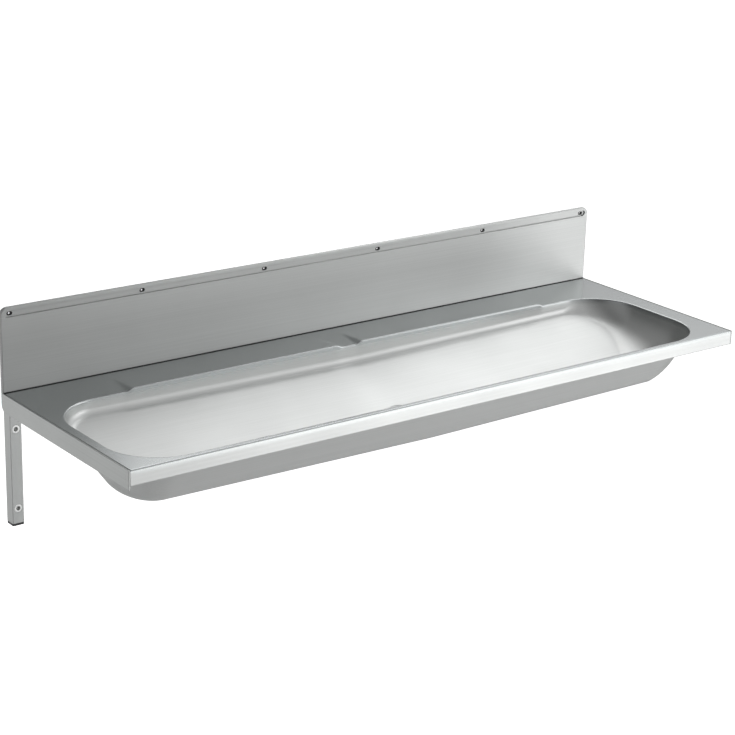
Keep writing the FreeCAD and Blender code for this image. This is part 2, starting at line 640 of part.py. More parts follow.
# Brackets on both sides: arm plate along the deck's end, wall post, sleeves, end cap, studs and nuts
arms, posts, sleeves, caps = [], [], [], []
for side_name, side in SIDES:
    arm = new_body(f"{side_name}_arm")
    arm_x = f"-{HALF}" if side < 0 else INNER_HALF
    arm_sketch = sketch_on(arm, "YZ_Plane", f"{side_name}_arm_outline", arm_x)
    rectangle(arm_sketch, "arm", "-sizes.overall_depth", "-sizes.arm_height", "0", "0")
    plate = pad(arm, arm_sketch, f"{side_name}_arm_plate", "sizes.arm_plate")
    doc.recompute()
    rear_round = arm.newObject("PartDesign::Fillet", f"{side_name}_arm_rear_round")
    rear_round.Base = (plate, edges_where(plate, is_low_rear_edge))
    bind(rear_round, "Radius", "sizes.arm_rear_round")
    arms.append(arm)

    outer = f"{side} * {INNER_HALF}"
    inner = f"{side} * ({INNER_HALF} - sizes.post_width)"
    left, right = (outer, inner) if side < 0 else (inner, outer)
    post_length = "sizes.post_drop - sizes.sheet_metal - sizes.post_top_clearance"
    post = new_body(f"{side_name}_post")
    tube = sketch_on(post, "XY_Plane", f"{side_name}_tube_outline", "-sizes.post_drop")
    rectangle(tube, "outside", left, "-sizes.post_depth", right, "0")
    rectangle(tube, "inside", f"{left} + sizes.post_wall", "sizes.post_wall - sizes.post_depth",
              f"{right} - sizes.post_wall", "-sizes.post_wall")
    pad(post, tube, f"{side_name}_tube", post_length)
    cross = sketch_on(post, "XZ_Plane", f"{side_name}_sleeve_holes")
    sleeve_x = f"{side} * ({INNER_HALF} - sizes.post_width / 2)"
    for level in ("upper", "lower"):
        circle(cross, level, sleeve_x, f"-sizes.{level}_sleeve_drop", "sizes.sleeve_diameter / 2")
    pocket_through(post, cross, f"{side_name}_cross_holes")
    posts.append(post)

    pair = []
    for level in ("upper", "lower"):
        pair.append(ring(f"{side_name}_{level}_sleeve", "sizes.sleeve_diameter / 2", "sizes.sleeve_bore / 2",
                         "sizes.post_depth", sleeve_x, "0", f"-sizes.{level}_sleeve_drop", "-Y"))
    sleeves.append(group(f"{side_name}_sleeves", pair))

    cap = new_body(f"{side_name}_end_cap")
    cap_sketch = sketch_on(cap, "XY_Plane", f"{side_name}_cap_outline",
                           "-sizes.post_drop - sizes.cap_thickness")
    rectangle(cap_sketch, "flange", left, "-sizes.post_depth", right, "0")
    pad(cap, cap_sketch, f"{side_name}_cap_flange", "sizes.cap_thickness")
    plug = sketch_on(cap, "XY_Plane", f"{side_name}_plug_outline", "-sizes.post_drop")
    wall = "(sizes.post_wall + sizes.cap_clearance)"
    rectangle(plug, "plug", f"{left} + {wall}", f"{wall} - sizes.post_depth", f"{right} - {wall}", f"-{wall}")
    pad(cap, plug, f"{side_name}_cap_plug", "sizes.cap_plug")
    caps.append(cap)

    axis = "-X" if side > 0 else "+X"
    rows = {name: [] for name in ("studs", "washers", "nuts")}
    lip_face = f"{side} * ({INNER_HALF} - sizes.sheet_metal)"
    washer_face = f"{side} * ({INNER_HALF} - sizes.sheet_metal - sizes.washer_thickness)"
    for i in arm_studs:
        stud_y = arm_stud_y(i)
        stud_z = "-sizes.arm_stud_drop"
        rows["studs"].append(cylinder(f"{side_name}_arm_stud_{i}", "sizes.stud_diameter / 2",
                                      f"sizes.sheet_metal + {STACK}", outer, stud_y, stud_z, axis))
        rows["washers"].append(ring(f"{side_name}_arm_washer_{i}", "sizes.washer_diameter / 2",
                                    "sizes.stud_hole / 2", "sizes.washer_thickness", lip_face, stud_y,
                                    stud_z, axis))
        rows["nuts"].append(nut(f"{side_name}_arm_nut_{i}", washer_face, stud_y, stud_z, axis))
    for kind, items in rows.items():
        stud_rows[f"{side_name}_arm_{kind}"] = items

fastener_groups = [group(name, items) for name, items in stud_rows.items()]

# Sound-damping pads on the underside of each half of the floor
pads = []
pad_offset = val(f"{BOWL_HALF} - sizes.pad_end_margin - sizes.pad_length / 2")
for side_name, side in SIDES:
    damping = doc.addObject("Part::Box", f"{side_name}_damping_pad")
    bind(damping, "Length", "sizes.pad_length")
    bind(damping, "Width", "sizes.pad_width")
    bind(damping, "Height", "sizes.pad_thickness")
    pad_normal = V(-side * floor_fall, -floor_slope, 1).normalize()
    pad_across = V(0, 1, floor_slope).normalize()
    pad_along = pad_across.cross(pad_normal)
    turn = FreeCAD.Rotation(pad_along, pad_across, pad_normal, "XYZ")
    pad_y = (rim_front + size("front_inset") + floor_back) / 2
    pad_depth = floor_depth(pad_y) - floor_fall * pad_offset
    middle = V(bowl_middle + side * pad_offset, pad_y, -pad_depth)
    corner = middle - pad_normal * (size("sheet_metal") + size("pad_thickness"))
    corner = corner - pad_along * (size("pad_length") / 2) - pad_across * (size("pad_width") / 2)
    damping.Placement = FreeCAD.Placement(corner, turn)
    pads.append(damping)

# Outlet: gasket and flanged spigot from above, seal ring and lock nut from below, lift-out strainer
GASKET_TOP = f"({RECESS_Z} + sizes.gasket_thickness)"
FLANGE_TOP = f"({GASKET_TOP} + sizes.flange_thickness)"
UNDERSIDE = f"({RECESS_Z} - sizes.sheet_metal)"
SEAL_LOW = f"({UNDERSIDE} - sizes.seal_ring_thickness)"
NUT_LOW = f"({SEAL_LOW} - sizes.lock_nut_height)"
RELIEF_LOW = f"({NUT_LOW} - sizes.relief_height)"
SPIGOT_LOW = f"({RELIEF_LOW} - sizes.spigot_tip)"

gasket = ring("outlet_gasket", "sizes.flange_radius", "sizes.outlet_hole_radius", "sizes.gasket_thickness",
              OUTLET_X, OUTLET_Y, RECESS_Z)
spigot = cut(
    "outlet_spigot",
    fuse("spigot_body", [
        cylinder("spigot_flange", "sizes.flange_radius", "sizes.flange_thickness",
                 OUTLET_X, OUTLET_Y, GASKET_TOP),
        cylinder("spigot_tube", "sizes.spigot_radius", f"{FLANGE_TOP} - {NUT_LOW}",
                 OUTLET_X, OUTLET_Y, NUT_LOW),
        cylinder("spigot_relief", "sizes.spigot_radius - sizes.relief_depth", "sizes.relief_height",
                 OUTLET_X, OUTLET_Y, RELIEF_LOW),
        cylinder("spigot_tail", "sizes.spigot_radius", "sizes.spigot_tip", OUTLET_X, OUTLET_Y, SPIGOT_LOW)]),
    cylinder("spigot_bore", "sizes.spigot_bore", f"{FLANGE_TOP} - {SPIGOT_LOW}",
             OUTLET_X, OUTLET_Y, SPIGOT_LOW))
seal_ring = ring("outlet_seal_ring", "sizes.seal_ring_radius", "sizes.outlet_hole_radius",
                 "sizes.seal_ring_thickness", OUTLET_X, OUTLET_Y, SEAL_LOW)
lock_nut = cut("outlet_lock_nut",
               hexagon("lock_nut_body", "sizes.lock_nut_flats", "sizes.lock_nut_height",
                       OUTLET_X, OUTLET_Y, NUT_LOW),
               cylinder("lock_nut_bore", "sizes.spigot_radius", "sizes.lock_nut_height",
                        OUTLET_X, OUTLET_Y, NUT_LOW))

strainer = new_body("strainer")
disc = sketch_on(strainer, "XY_Plane", "strainer_disc_outline")
circle(disc, "disc", "0", "0", "sizes.strainer_radius")
pad(strainer, disc, "strainer_disc", "sizes.strainer_thickness")
skirt = sketch_on(strainer, "XY_Plane", "strainer_skirt_outline", "-sizes.strainer_skirt")
skirt_radius = "(sizes.spigot_bore - sizes.strainer_clearance)"
circle(skirt, "outside", "0", "0", skirt_radius)
circle(skirt, "inside", "0", "0", f"{skirt_radius} - sizes.sheet_metal")
pad(strainer, skirt, "strainer_skirt", "sizes.strainer_skirt")
hole = sketch_on(strainer, "XY_Plane", "strainer_hole_outline")
circle(hole, "hole", "sizes.strainer_hole_circle", "0", "sizes.strainer_hole / 2")
drain_hole = pocket_through(strainer, hole, "strainer_hole")
hole_ring = strainer.newObject("PartDesign::PolarPattern", "strainer_holes")
hole_ring.Originals = [drain_hole]
hole_ring.Axis = (hole, ["N_Axis"])
hole_ring.Angle = 360
bind(hole_ring, "Occurrences", "sizes.strainer_hole_count")
centre = sketch_on(strainer, "XY_Plane", "strainer_centre_outline")
circle(centre, "centre", "0", "0", "sizes.strainer_hole / 2")
strainer.Tip = hole_ring
centre_hole = pocket_through(strainer, centre, "strainer_centre_hole")
strainer.Tip = centre_hole
place(strainer, OUTLET_X, OUTLET_Y, FLANGE_TOP)

doc.recompute()

subparts = [basin, stiffener, splash, top_backing, foot_backing, rear_seal]
subparts += arms + posts + sleeves + caps + fastener_groups + pads
subparts += [gasket, spigot, seal_ring, lock_nut, strainer]

for obj in doc.Objects:
    if "Invalid" in obj.State or "Error" in obj.State:
        raise RuntimeError(f"{obj.Name} failed: {obj.State}")
for obj in subparts:
    if obj.Shape.isNull() or not obj.Shape.isValid() or not obj.Shape.Solids:
        raise RuntimeError(f"{obj.Label} has no valid solid")

os.makedirs("parts", exist_ok=True)
for obj in subparts:
    obj.Shape.exportStep(f"parts/{obj.Label}.step")
    print(f"{obj.Label}: {len(obj.Shape.Solids)} solid(s), {obj.Shape.Volume / 1000:.1f} cm3")
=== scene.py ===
# %% [markdown]
# # A wall-hung steel wash trough
# The trough is bent and pressed from thin stainless sheet: a long bowl in a flat deck, a splashback
# behind it and two brackets that carry it on the wall. Thin sheet has no sharp corners, so most of
# this lesson is about soft bends, because a bend's highlight is what tells the eye that it looks at
# metal.

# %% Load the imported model
import math

import bmesh
import bpy
from mathutils import Matrix, Vector


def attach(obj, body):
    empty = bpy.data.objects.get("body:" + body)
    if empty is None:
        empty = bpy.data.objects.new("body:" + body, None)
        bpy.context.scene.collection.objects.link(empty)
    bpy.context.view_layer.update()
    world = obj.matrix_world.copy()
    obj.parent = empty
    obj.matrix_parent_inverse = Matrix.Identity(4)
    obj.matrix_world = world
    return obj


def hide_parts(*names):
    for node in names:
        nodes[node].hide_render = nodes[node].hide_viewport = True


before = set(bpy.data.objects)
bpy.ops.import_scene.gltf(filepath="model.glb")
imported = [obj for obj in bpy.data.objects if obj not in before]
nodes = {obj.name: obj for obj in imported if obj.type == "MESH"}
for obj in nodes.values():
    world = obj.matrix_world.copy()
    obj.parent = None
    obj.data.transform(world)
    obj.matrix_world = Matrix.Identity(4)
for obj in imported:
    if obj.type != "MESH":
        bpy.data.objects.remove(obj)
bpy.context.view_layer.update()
scene = bpy.context.scene
scene.view_settings.view_transform = "Standard"

# %% [markdown]
# ## Tools for the bench
# Operators act on whatever is selected, so each step first clears the selection. Faces, edges and
# points are then picked by where they lie, which a script can do more exactly than a mouse. The
# object's sizes are written in millimetres, as on a workshop drawing, and turned into metres at the
# last moment. The studio's are in metres.

# %% Selecting
MM = 0.001
# Room for errors when picking by place, in millimetres, and how far an edge or normal lies along an axis
LOOSE, TIGHT, PARALLEL = 0.1, 0.01, 0.9


def clear():
    """Leaves edit mode and deselects everything."""
    if bpy.context.mode != "OBJECT":
        bpy.ops.object.mode_set(mode="OBJECT")
    bpy.ops.object.select_all(action="DESELECT")


def only(obj):
    """Makes obj the one selected and active object."""
    clear()
    obj.select_set(True)
    bpy.context.view_layer.objects.active = obj


def pick(kind, test):
    """In edit mode, selects the points, edges or faces that pass the test."""
    bpy.ops.mesh.select_mode(type=kind)
    bpy.ops.mesh.select_all(action="DESELECT")
    mesh = bpy.context.edit_object.data
    bm = bmesh.from_edit_mesh(mesh)
    for part in {"VERT": bm.verts, "EDGE": bm.edges, "FACE": bm.faces}[kind]:
        if test(part):
            part.select_set(True)
    bm.select_flush_mode()
    bmesh.update_edit_mesh(mesh)


def middle(part):
    """Middle of an edge or face, in millimetres."""
    points = [v.co for v in part.verts]
    return sum(points, Vector()) / len(points) / MM


def along(edge):
    """Direction of an edge."""
    return (edge.verts[1].co - edge.verts[0].co).normalized()


# %% Basic shapes


def block(name, low, high):
    """Box between two corners in millimetres, as the active object."""
    clear()
    low, high = Vector(low) * MM, Vector(high) * MM
    bpy.ops.mesh.primitive_cube_add(size=1, location=(low + high) / 2, scale=high - low)
    obj = bpy.context.object
    obj.name = name
    bpy.ops.object.transform_apply(location=True, rotation=True, scale=True)
    return obj


def rod(name, radius, start, length, axis, sides=32):
    """Cylinder from a start point along an axis, in millimetres."""
    clear()
    direction = Vector(axis)
    centre = (Vector(start) + direction * length / 2) * MM
    turn = direction.to_track_quat("Z", "Y").to_euler()
    bpy.ops.mesh.primitive_cylinder_add(vertices=sides, radius=radius * MM, depth=length * MM,
                                        location=centre, rotation=turn)
    obj = bpy.context.object
    obj.name = name
    bpy.ops.object.transform_apply(location=True, rotation=True, scale=True)
    return obj


# %% Modifiers, and handing a finished piece over


def apply(obj, kind, **settings):
    """Adds a modifier, sets it up and applies it."""
    only(obj)
    modifier = obj.modifiers.new(kind.lower(), kind)
    for key, value in settings.items():
        setattr(modifier, key, value)
    bpy.ops.object.modifier_apply(modifier=modifier.name)


def carve(obj, tools):
    """Cuts the tool shapes out of obj and removes them."""
    for tool in tools:
        apply(obj, "BOOLEAN", operation="DIFFERENCE", object=tool, solver="EXACT")
        bpy.data.objects.remove(tool)


def soften(obj, width, segments=2, angle=35):
    """Rounds all edges sharper than the angle by a small bend."""
    apply(obj, "BEVEL", width=width * MM, segments=segments, limit_method="ANGLE",
          angle_limit=math.radians(angle), use_clamp_overlap=True, harden_normals=False)


def merge(name, parts):
    """Joins several shapes into the first one."""
    only(parts[0])
    for part in parts[1:]:
        part.select_set(True)
    bpy.ops.object.join()
    parts[0].name = name
    return parts[0]


def hand_over(obj, finish, slot, *replaced, body="trough", angle=32):
    """Shades a finished piece, gives it its material and lets it stand for its CAD nodes."""
    only(obj)
    bpy.ops.object.shade_smooth_by_angle(angle=math.radians(angle), keep_sharp_edges=True)
    apply(obj, "WEIGHTED_NORMAL", mode="FACE_AREA", weight=80, keep_sharp=True)
    obj.data.materials.clear()
    obj.data.materials.append(finish)
    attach(obj, body)
    if replaced:
        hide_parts(*replaced)
    print(obj.name, len(obj.data.polygons), "faces, stands for", ", ".join(replaced) or "no node")


# %% [markdown]
# ## Finishes
# Brushed stainless steel is a mirror with fine parallel scratches. The scratches are far thinner than
# a pixel, so they could be an image, but a stretched noise gives them without one and at any scale.
# One node group makes the grain and one makes the slow cloudiness that handling leaves. Each steel
# then sets its own direction and strength.

# %% Shared grain and cloud groups
# Noise cells per metre along and across the brush marks, for brushing along each axis
MARKS_ALONG, MARKS_ACROSS = 8.0, 2400.0
ALONG = (MARKS_ALONG, MARKS_ACROSS, MARKS_ACROSS)
DEEP = (MARKS_ACROSS, MARKS_ALONG, MARKS_ACROSS)
UPRIGHT = (MARKS_ACROSS, MARKS_ACROSS, MARKS_ALONG)


def new_group(name, inputs, outputs):
    """Empty node group with named sockets, and its two end nodes."""
    group = bpy.data.node_groups.new(name, "ShaderNodeTree")
    for label, kind, default in inputs:
        socket = group.interface.new_socket(label, in_out="INPUT", socket_type=kind)
        socket.default_value = default
    for label, kind in outputs:
        group.interface.new_socket(label, in_out="OUTPUT", socket_type=kind)
    return group, group.nodes.new("NodeGroupInput"), group.nodes.new("NodeGroupOutput")


def brushed_grain():
    """Height and tone of brush marks: noise on object coordinates, squeezed across the brushing."""
    group, inside, outside = new_group(
        "brushed_grain",
        [("Squeeze", "NodeSocketVector", ALONG)],
        [("Height", "NodeSocketFloat"), ("Tone", "NodeSocketFloat")])
    links = group.links
    place = group.nodes.new("ShaderNodeTexCoord")
    squeeze = group.nodes.new("ShaderNodeVectorMath")
    squeeze.operation = "MULTIPLY"
    fine = group.nodes.new("ShaderNodeTexNoise")
    fine.inputs["Scale"].default_value = 1.0
    fine.inputs["Detail"].default_value = 3.0
    coarse_place = group.nodes.new("ShaderNodeVectorMath")
    coarse_place.operation = "SCALE"
    coarse_place.inputs["Scale"].default_value = 0.23
    coarse = group.nodes.new("ShaderNodeTexNoise")
    coarse.inputs["Scale"].default_value = 1.0
    coarse.inputs["Detail"].default_value = 2.0
    links.new(place.outputs["Object"], squeeze.inputs[0])
    links.new(inside.outputs["Squeeze"], squeeze.inputs[1])
    links.new(squeeze.outputs["Vector"], fine.inputs["Vector"])
    links.new(squeeze.outputs["Vector"], coarse_place.inputs[0])
    links.new(coarse_place.outputs["Vector"], coarse.inputs["Vector"])
    links.new(fine.outputs["Fac"], outside.inputs["Height"])
    links.new(coarse.outputs["Fac"], outside.inputs["Tone"])
    return group


def soft_clouds():
    """Slow patches over the surface, such as handling and wiping leave."""
    group, inside, outside = new_group(
        "soft_clouds", [("Scale", "NodeSocketFloat", 6.0)], [("Patch", "NodeSocketFloat")])
    place = group.nodes.new("ShaderNodeTexCoord")
    noise = group.nodes.new("ShaderNodeTexNoise")
    noise.inputs["Detail"].default_value = 4.0
    noise.inputs["Roughness"].default_value = 0.55
    group.links.new(place.outputs["Object"], noise.inputs["Vector"])
    group.links.new(inside.outputs["Scale"], noise.inputs["Scale"])
    group.links.new(noise.outputs["Fac"], outside.inputs["Patch"])
    return group


grain_group = brushed_grain()
cloud_group = soft_clouds()
print("groups", grain_group.name, cloud_group.name)

# %% Building blocks of a material
# Most of a noise lies between these two values
NOISE_LOW, NOISE_HIGH = 0.3, 0.7


def start_material(name):
    material = bpy.data.materials.new(name)
    material.use_nodes = True
    shader = material.node_tree.nodes["Principled BSDF"]
    return material, material.node_tree, shader


def place_group(tree, group, **values):
    node = tree.nodes.new("ShaderNodeGroup")
    node.node_tree = group
    for key, value in values.items():
        node.inputs[key].default_value = value
    return node


def spread_value(tree, source, low, high):
    """Turns the middle of a noise into a value between low and high."""
    node = tree.nodes.new("ShaderNodeMapRange")
    node.inputs["From Min"].default_value = NOISE_LOW
    node.inputs["From Max"].default_value = NOISE_HIGH
    node.inputs["To Min"].default_value = low
    node.inputs["To Max"].default_value = high
    tree.links.new(source, node.inputs["Value"])
    return node.outputs["Result"]


def spread_colour(tree, source, dark, light):
    node = tree.nodes.new("ShaderNodeMix")
    node.data_type = "RGBA"
    node.inputs["A"].default_value = (*dark, 1)
    node.inputs["B"].default_value = (*light, 1)
    tree.links.new(spread_value(tree, source, 0.0, 1.0), node.inputs["Factor"])
    return node.outputs["Result"]


# %% Recipes for brushed steel and for moulded plastic or rubber
STEEL_SMOOTHER, STEEL_ROUGHER, SKIN_SPREAD, SKIN_SCALE = 0.02, 0.03, 0.05, 900.0
# Heights in millimetres between which the bowl's finish turns into the deck's smoother finish and painted
# shade
GLOSS_SHADE_LOW, GLOSS_SHADE_HIGH = -9.0, -1.0


def brushed_steel(name, dark, light, rough, squeeze, groove):
    """Brushed sheet: its tone and a very shallow bump follow the brush marks, its roughness slow patches."""
    material, tree, shader = start_material(name)
    grain = place_group(tree, grain_group, Squeeze=squeeze)
    clouds = place_group(tree, cloud_group, Scale=5.0)
    shader.inputs["Metallic"].default_value = 1.0
    tree.links.new(spread_colour(tree, grain.outputs["Tone"], dark, light), shader.inputs["Base Color"])
    patchy = spread_value(tree, clouds.outputs["Patch"], rough - STEEL_SMOOTHER, rough + STEEL_ROUGHER)
    tree.links.new(patchy, shader.inputs["Roughness"])
    bump = tree.nodes.new("ShaderNodeBump")
    bump.inputs["Strength"].default_value = groove
    bump.inputs["Distance"].default_value = 0.0002
    tree.links.new(grain.outputs["Height"], bump.inputs["Height"])
    tree.links.new(bump.outputs["Normal"], shader.inputs["Normal"])
    return material


def shade_and_smooth_deck(material, tone, rough):
    """Makes the deck, which is ground flat, smoother than the drawn bowl below it, and paints it a little
    darker: painted shade for the darker surroundings that it reflects.
    """
    tree = material.node_tree
    shader = tree.nodes["Principled BSDF"]
    place = tree.nodes.new("ShaderNodeTexCoord")
    axes = tree.nodes.new("ShaderNodeSeparateXYZ")
    level = tree.nodes.new("ShaderNodeMapRange")
    level.inputs["From Min"].default_value = GLOSS_SHADE_LOW * MM
    level.inputs["From Max"].default_value = GLOSS_SHADE_HIGH * MM
    tree.links.new(place.outputs["Object"], axes.inputs["Vector"])
    tree.links.new(axes.outputs["Z"], level.inputs["Value"])
    # Painted shade: the deck's colour is multiplied by a darker tone
    colour = tree.nodes.new("ShaderNodeMix")
    colour.data_type = "RGBA"
    colour.blend_type = "MULTIPLY"
    colour.inputs["B"].default_value = (*tone, 1)
    smooth = tree.nodes.new("ShaderNodeMix")
    smooth.inputs["B"].default_value = rough
    for socket, mix in (("Base Color", colour), ("Roughness", smooth)):
        source = shader.inputs[socket].links[0].from_socket
        tree.links.new(level.outputs["Result"], mix.inputs["Factor"])
        tree.links.new(source, mix.inputs["A"])
        tree.links.new(mix.outputs["Result"], shader.inputs[socket])


def moulded(name, dark, light, rough, scale, depth):
    """Plastic or rubber with a fine moulded skin."""
    material, tree, shader = start_material(name)
    clouds = place_group(tree, cloud_group, Scale=scale)
    skin = place_group(tree, cloud_group, Scale=SKIN_SCALE)
    tree.links.new(spread_colour(tree, clouds.outputs["Patch"], dark, light), shader.inputs["Base Color"])
    patchy = spread_value(tree, skin.outputs["Patch"], rough - SKIN_SPREAD, rough + SKIN_SPREAD)
    tree.links.new(patchy, shader.inputs["Roughness"])
    bump = tree.nodes.new("ShaderNodeBump")
    bump.inputs["Strength"].default_value = depth
    bump.inputs["Distance"].default_value = 0.0003
    tree.links.new(skin.outputs["Patch"], bump.inputs["Height"])
    tree.links.new(bump.outputs["Normal"], shader.inputs["Normal"])
    return material


# %% The finishes of this trough
SHEET_DARK, SHEET_LIGHT = (0.555, 0.566, 0.560), (0.59, 0.60, 0.595)
# Grain without a direction, for turned, tumbled and polished pieces
TURNED, TUMBLED, POLISHED = (300.0,) * 3, (500.0,) * 3, (400.0,) * 3
basin_steel = brushed_steel("basin_steel", SHEET_DARK, SHEET_LIGHT,
                            rough=0.42, squeeze=ALONG, groove=0.015)
# The deck's darker tone is painted shade; its lower roughness is its real finish
shade_and_smooth_deck(basin_steel, tone=(0.78, 0.80, 0.81), rough=0.22)
splash_steel = brushed_steel("splash_steel", SHEET_DARK, SHEET_LIGHT,
                             rough=0.52, squeeze=ALONG, groove=0.02)
satin = splash_steel.node_tree.nodes["Principled BSDF"]
satin.inputs["Anisotropic"].default_value = 0.8
satin.inputs["Anisotropic Rotation"].default_value = 0.25
# Painted shade: the arms are the same bracket steel, coloured darker for the shade on their sideways faces
shaded_arm_steel = brushed_steel("shaded_arm_steel", (0.33, 0.34, 0.335), (0.36, 0.37, 0.365),
                          rough=0.32, squeeze=DEEP, groove=0.02)
# Painted shade: the posts are the same bracket steel, coloured darker for the shadow under the deck
shaded_post_steel = brushed_steel("shaded_post_steel", (0.40, 0.41, 0.405), (0.43, 0.44, 0.435),
                           rough=0.40, squeeze=UPRIGHT, groove=0.02)
# Painted light: the sleeves are the same bracket steel, coloured lighter than the posts round them
lit_sleeve_steel = brushed_steel("lit_sleeve_steel", (0.66, 0.67, 0.66), (0.72, 0.73, 0.72),
                             rough=0.36, squeeze=TURNED, groove=0.05)
channel_steel = brushed_steel("channel_steel", (0.50, 0.51, 0.51), (0.60, 0.61, 0.61),
                              rough=0.42, squeeze=ALONG, groove=0.2)
fastener_steel = brushed_steel("fastener_steel", (0.52, 0.52, 0.51), (0.64, 0.64, 0.63),
                               rough=0.30, squeeze=TUMBLED, groove=0.1)
strip_aluminium = brushed_steel("strip_aluminium", (0.62, 0.63, 0.63), (0.70, 0.71, 0.71),
                                rough=0.44, squeeze=ALONG, groove=0.2)
outlet_steel = brushed_steel("outlet_steel", (0.62, 0.62, 0.61), (0.70, 0.70, 0.69),
                             rough=0.20, squeeze=POLISHED, groove=0.05)
# Black rubber for the outlet's seals, and painted shade for the seam's bead, the rear seal and the strip
# behind the slots
black_rubber_and_shade = moulded("black_rubber_and_shade", (0.010, 0.010, 0.011), (0.022, 0.022, 0.023),
                      rough=0.6, scale=40.0, depth=0.3)
pad_rubber = moulded("pad_rubber", (0.030, 0.030, 0.033), (0.060, 0.060, 0.064),
                     rough=0.85, scale=60.0, depth=0.8)
cap_plastic = moulded("cap_plastic", (0.012, 0.012, 0.013), (0.026, 0.026, 0.028),
                      rough=0.45, scale=60.0, depth=0.3)
nut_plastic = moulded("nut_plastic", (0.62, 0.63, 0.62), (0.74, 0.75, 0.74),
                      rough=0.5, scale=50.0, depth=0.3)
print(len(bpy.data.materials), "materials")

# %% [markdown]
# ## The basin
# Deck, apron, lips and bowl are one pressed sheet. It could be cut from a block with Booleans and
# bevelled after, but bevels on a Boolean's edges pinch where a curve meets a flat. Here one closed
# loop of edges, the bowl's opening, is extruded again and again, as a sheet is drawn over a die: from
# the folded lip's lower edge, round the bend, over the deck, round the rim, down the wall, round the
# floor's corner. Every point remembers its place on the opening, so each new loop knows where it
# belongs. The bend to the floor is tight along the sides and at the left end, and wide round the
# right end. Then Solidify gives the sheet its thickness.

# %% Sizes of the basin, in millimetres
HALF_LENGTH = 600.0
RIM_LEFT, RIM_RIGHT, RIM_FRONT, RIM_BACK = -580.0, 559.0, -375.0, -99.0
RIM_CORNER, FLOOR_CORNER, RIGHT_CORNER = 88.0, 62.0, 84.0
BOWL_MIDDLE = (RIM_LEFT + RIM_RIGHT) / 2
END_INSET, FRONT_INSET, BACK_INSET = 11.0, 50.0, 5.0
FLOOR_BACK = RIM_BACK - BACK_INSET
BACK_DEPTH, FRONT_DEPTH, MIDDLE_FALL = 20.0, 91.0, 7.0
FLOOR_SLOPE = (FRONT_DEPTH - BACK_DEPTH) / (RIM_BACK - RIM_FRONT - FRONT_INSET - BACK_INSET)
FLOOR_HALF = (RIM_RIGHT - RIM_LEFT) / 2 - END_INSET
CENTRE_FALL = MIDDLE_FALL / FLOOR_HALF
DECK_END, DECK_FRONT, DECK_BACK = 597.0, -385.0, -6.5
SHEET, RIM_BEND, BACK_FILLET, SIDE_FILLET, END_FILLET = 1.5, 2.4, 15.0, 24.0, 88.0
FRONT_BEND, END_BEND, REAR_BEND = 2.0, 1.2, 0.6
APRON, LIP, FLANGE, FLANGE_HALF = 25.0, 20.0, 24.0, 573.0
APRON_RETURN, APRON_BEND, POST_ROOM = 11.5, 2.0, 24.0
PLATFORM_MIDDLE, PLATFORM_NEAR, PLATFORM_FAR, PLATFORM_FLANK = -9.0, 26.0, 414.0, 14.0
PLATFORM_RISE, PLATFORM_RUN, PLATFORM_NOSE = 4.3, 62.0, 20.0


def floor_height(x, y):
    """Height of the bowl's floor, without its bends."""
    back = -BACK_DEPTH - MIDDLE_FALL
    return back - (FLOOR_BACK - y) * FLOOR_SLOPE + CENTRE_FALL * abs(x - BOWL_MIDDLE)


def clamp(value, low, high):
    return min(max(value, low), high)


def platform_height(x, y):
    """Two raised panels that start at nothing behind and reach their full rise at the bowl's back rim."""
    run = clamp((RIM_BACK + PLATFORM_RUN - y) / PLATFORM_RUN, 0.0, 1.0)
    if run <= 0 or y < RIM_BACK - PLATFORM_NOSE:
        return 0.0
    flank = PLATFORM_FLANK * run
    side = abs(x - PLATFORM_MIDDLE)
    inner = clamp((side - PLATFORM_NEAR + flank) / flank, 0.0, 1.0)
    outer = clamp((PLATFORM_FAR + flank - side) / flank, 0.0, 1.0)
    share = min(inner, outer)
    return PLATFORM_RISE * run * share * share * (3 - 2 * share)


def arc(corner, a, b, radius, steps):
    """Points round a corner between directions a and b, and how far from the corner the bend starts."""
    half = a.angle(b) / 2
    reach = radius / math.tan(half)
    centre = corner + (a + b).normalized() * (radius / math.sin(half))
    start = corner + a * reach - centre
    stop = corner + b * reach - centre
    return [centre + start.slerp(stop, i / steps) * radius for i in range(steps + 1)], reach


def remap(value, low, high, new_low, new_high):
    return new_low + (value - low) / (high - low) * (new_high - new_low)


deepest = floor_height(BOWL_MIDDLE, RIM_FRONT + FRONT_INSET)
print("floor falls", round(FLOOR_SLOPE, 4), "to the front, down to", round(deepest, 1), "mm")

# %% One cross-section of the sheet, from the lip's lower edge to the floor
# Steps round the bends, loops beside the bends that hold them in shape, and loops on the flats between
CORNER_STEPS, BEND_STEPS, RIM_STEPS, FLOOR_STEPS = 24, 4, 6, 12
LIP_HOLD, BEND_HOLD, RIM_HOLD, FLOOR_HOLD = 4.0, 3.0, 1.0, 2.5
DECK_SHARES = (0.04, 0.12, 0.22, 0.32, 0.42, 0.52, 0.62, 0.72, 0.82, 0.92, 1.0)
WALL_SHARES = (0.05, 0.35, 0.65, 0.95)
# A direction's part below SQUARE counts as none, and a bend takes this share of the wall at most
SQUARE, BEND_SHARE = 0.001, 0.86


def deck_edge(point, out):
    """Where a line from the opening meets the deck's outline, and the outward side or corner there."""
    core = point - out * RIM_CORNER
    corner = Vector((math.copysign(DECK_END, out.x), DECK_BACK if out.y > 0 else DECK_FRONT))
    half_step = math.radians(90 / CORNER_STEPS / 2)
    if abs(out.x) > SQUARE and abs(out.y) > SQUARE and out.angle(corner - core) < half_step:
        return corner, Vector((math.copysign(1, out.x), math.copysign(1, out.y)))
    reach_x = (corner.x - point.x) / out.x if abs(out.x) > SQUARE else math.inf
    reach_y = (corner.y - point.y) / out.y if abs(out.y) > SQUARE else math.inf
    if reach_x < reach_y:
        return point + out * reach_x, Vector((math.copysign(1, out.x), 0))
    return point + out * reach_y, Vector((0, math.copysign(1, out.y)))


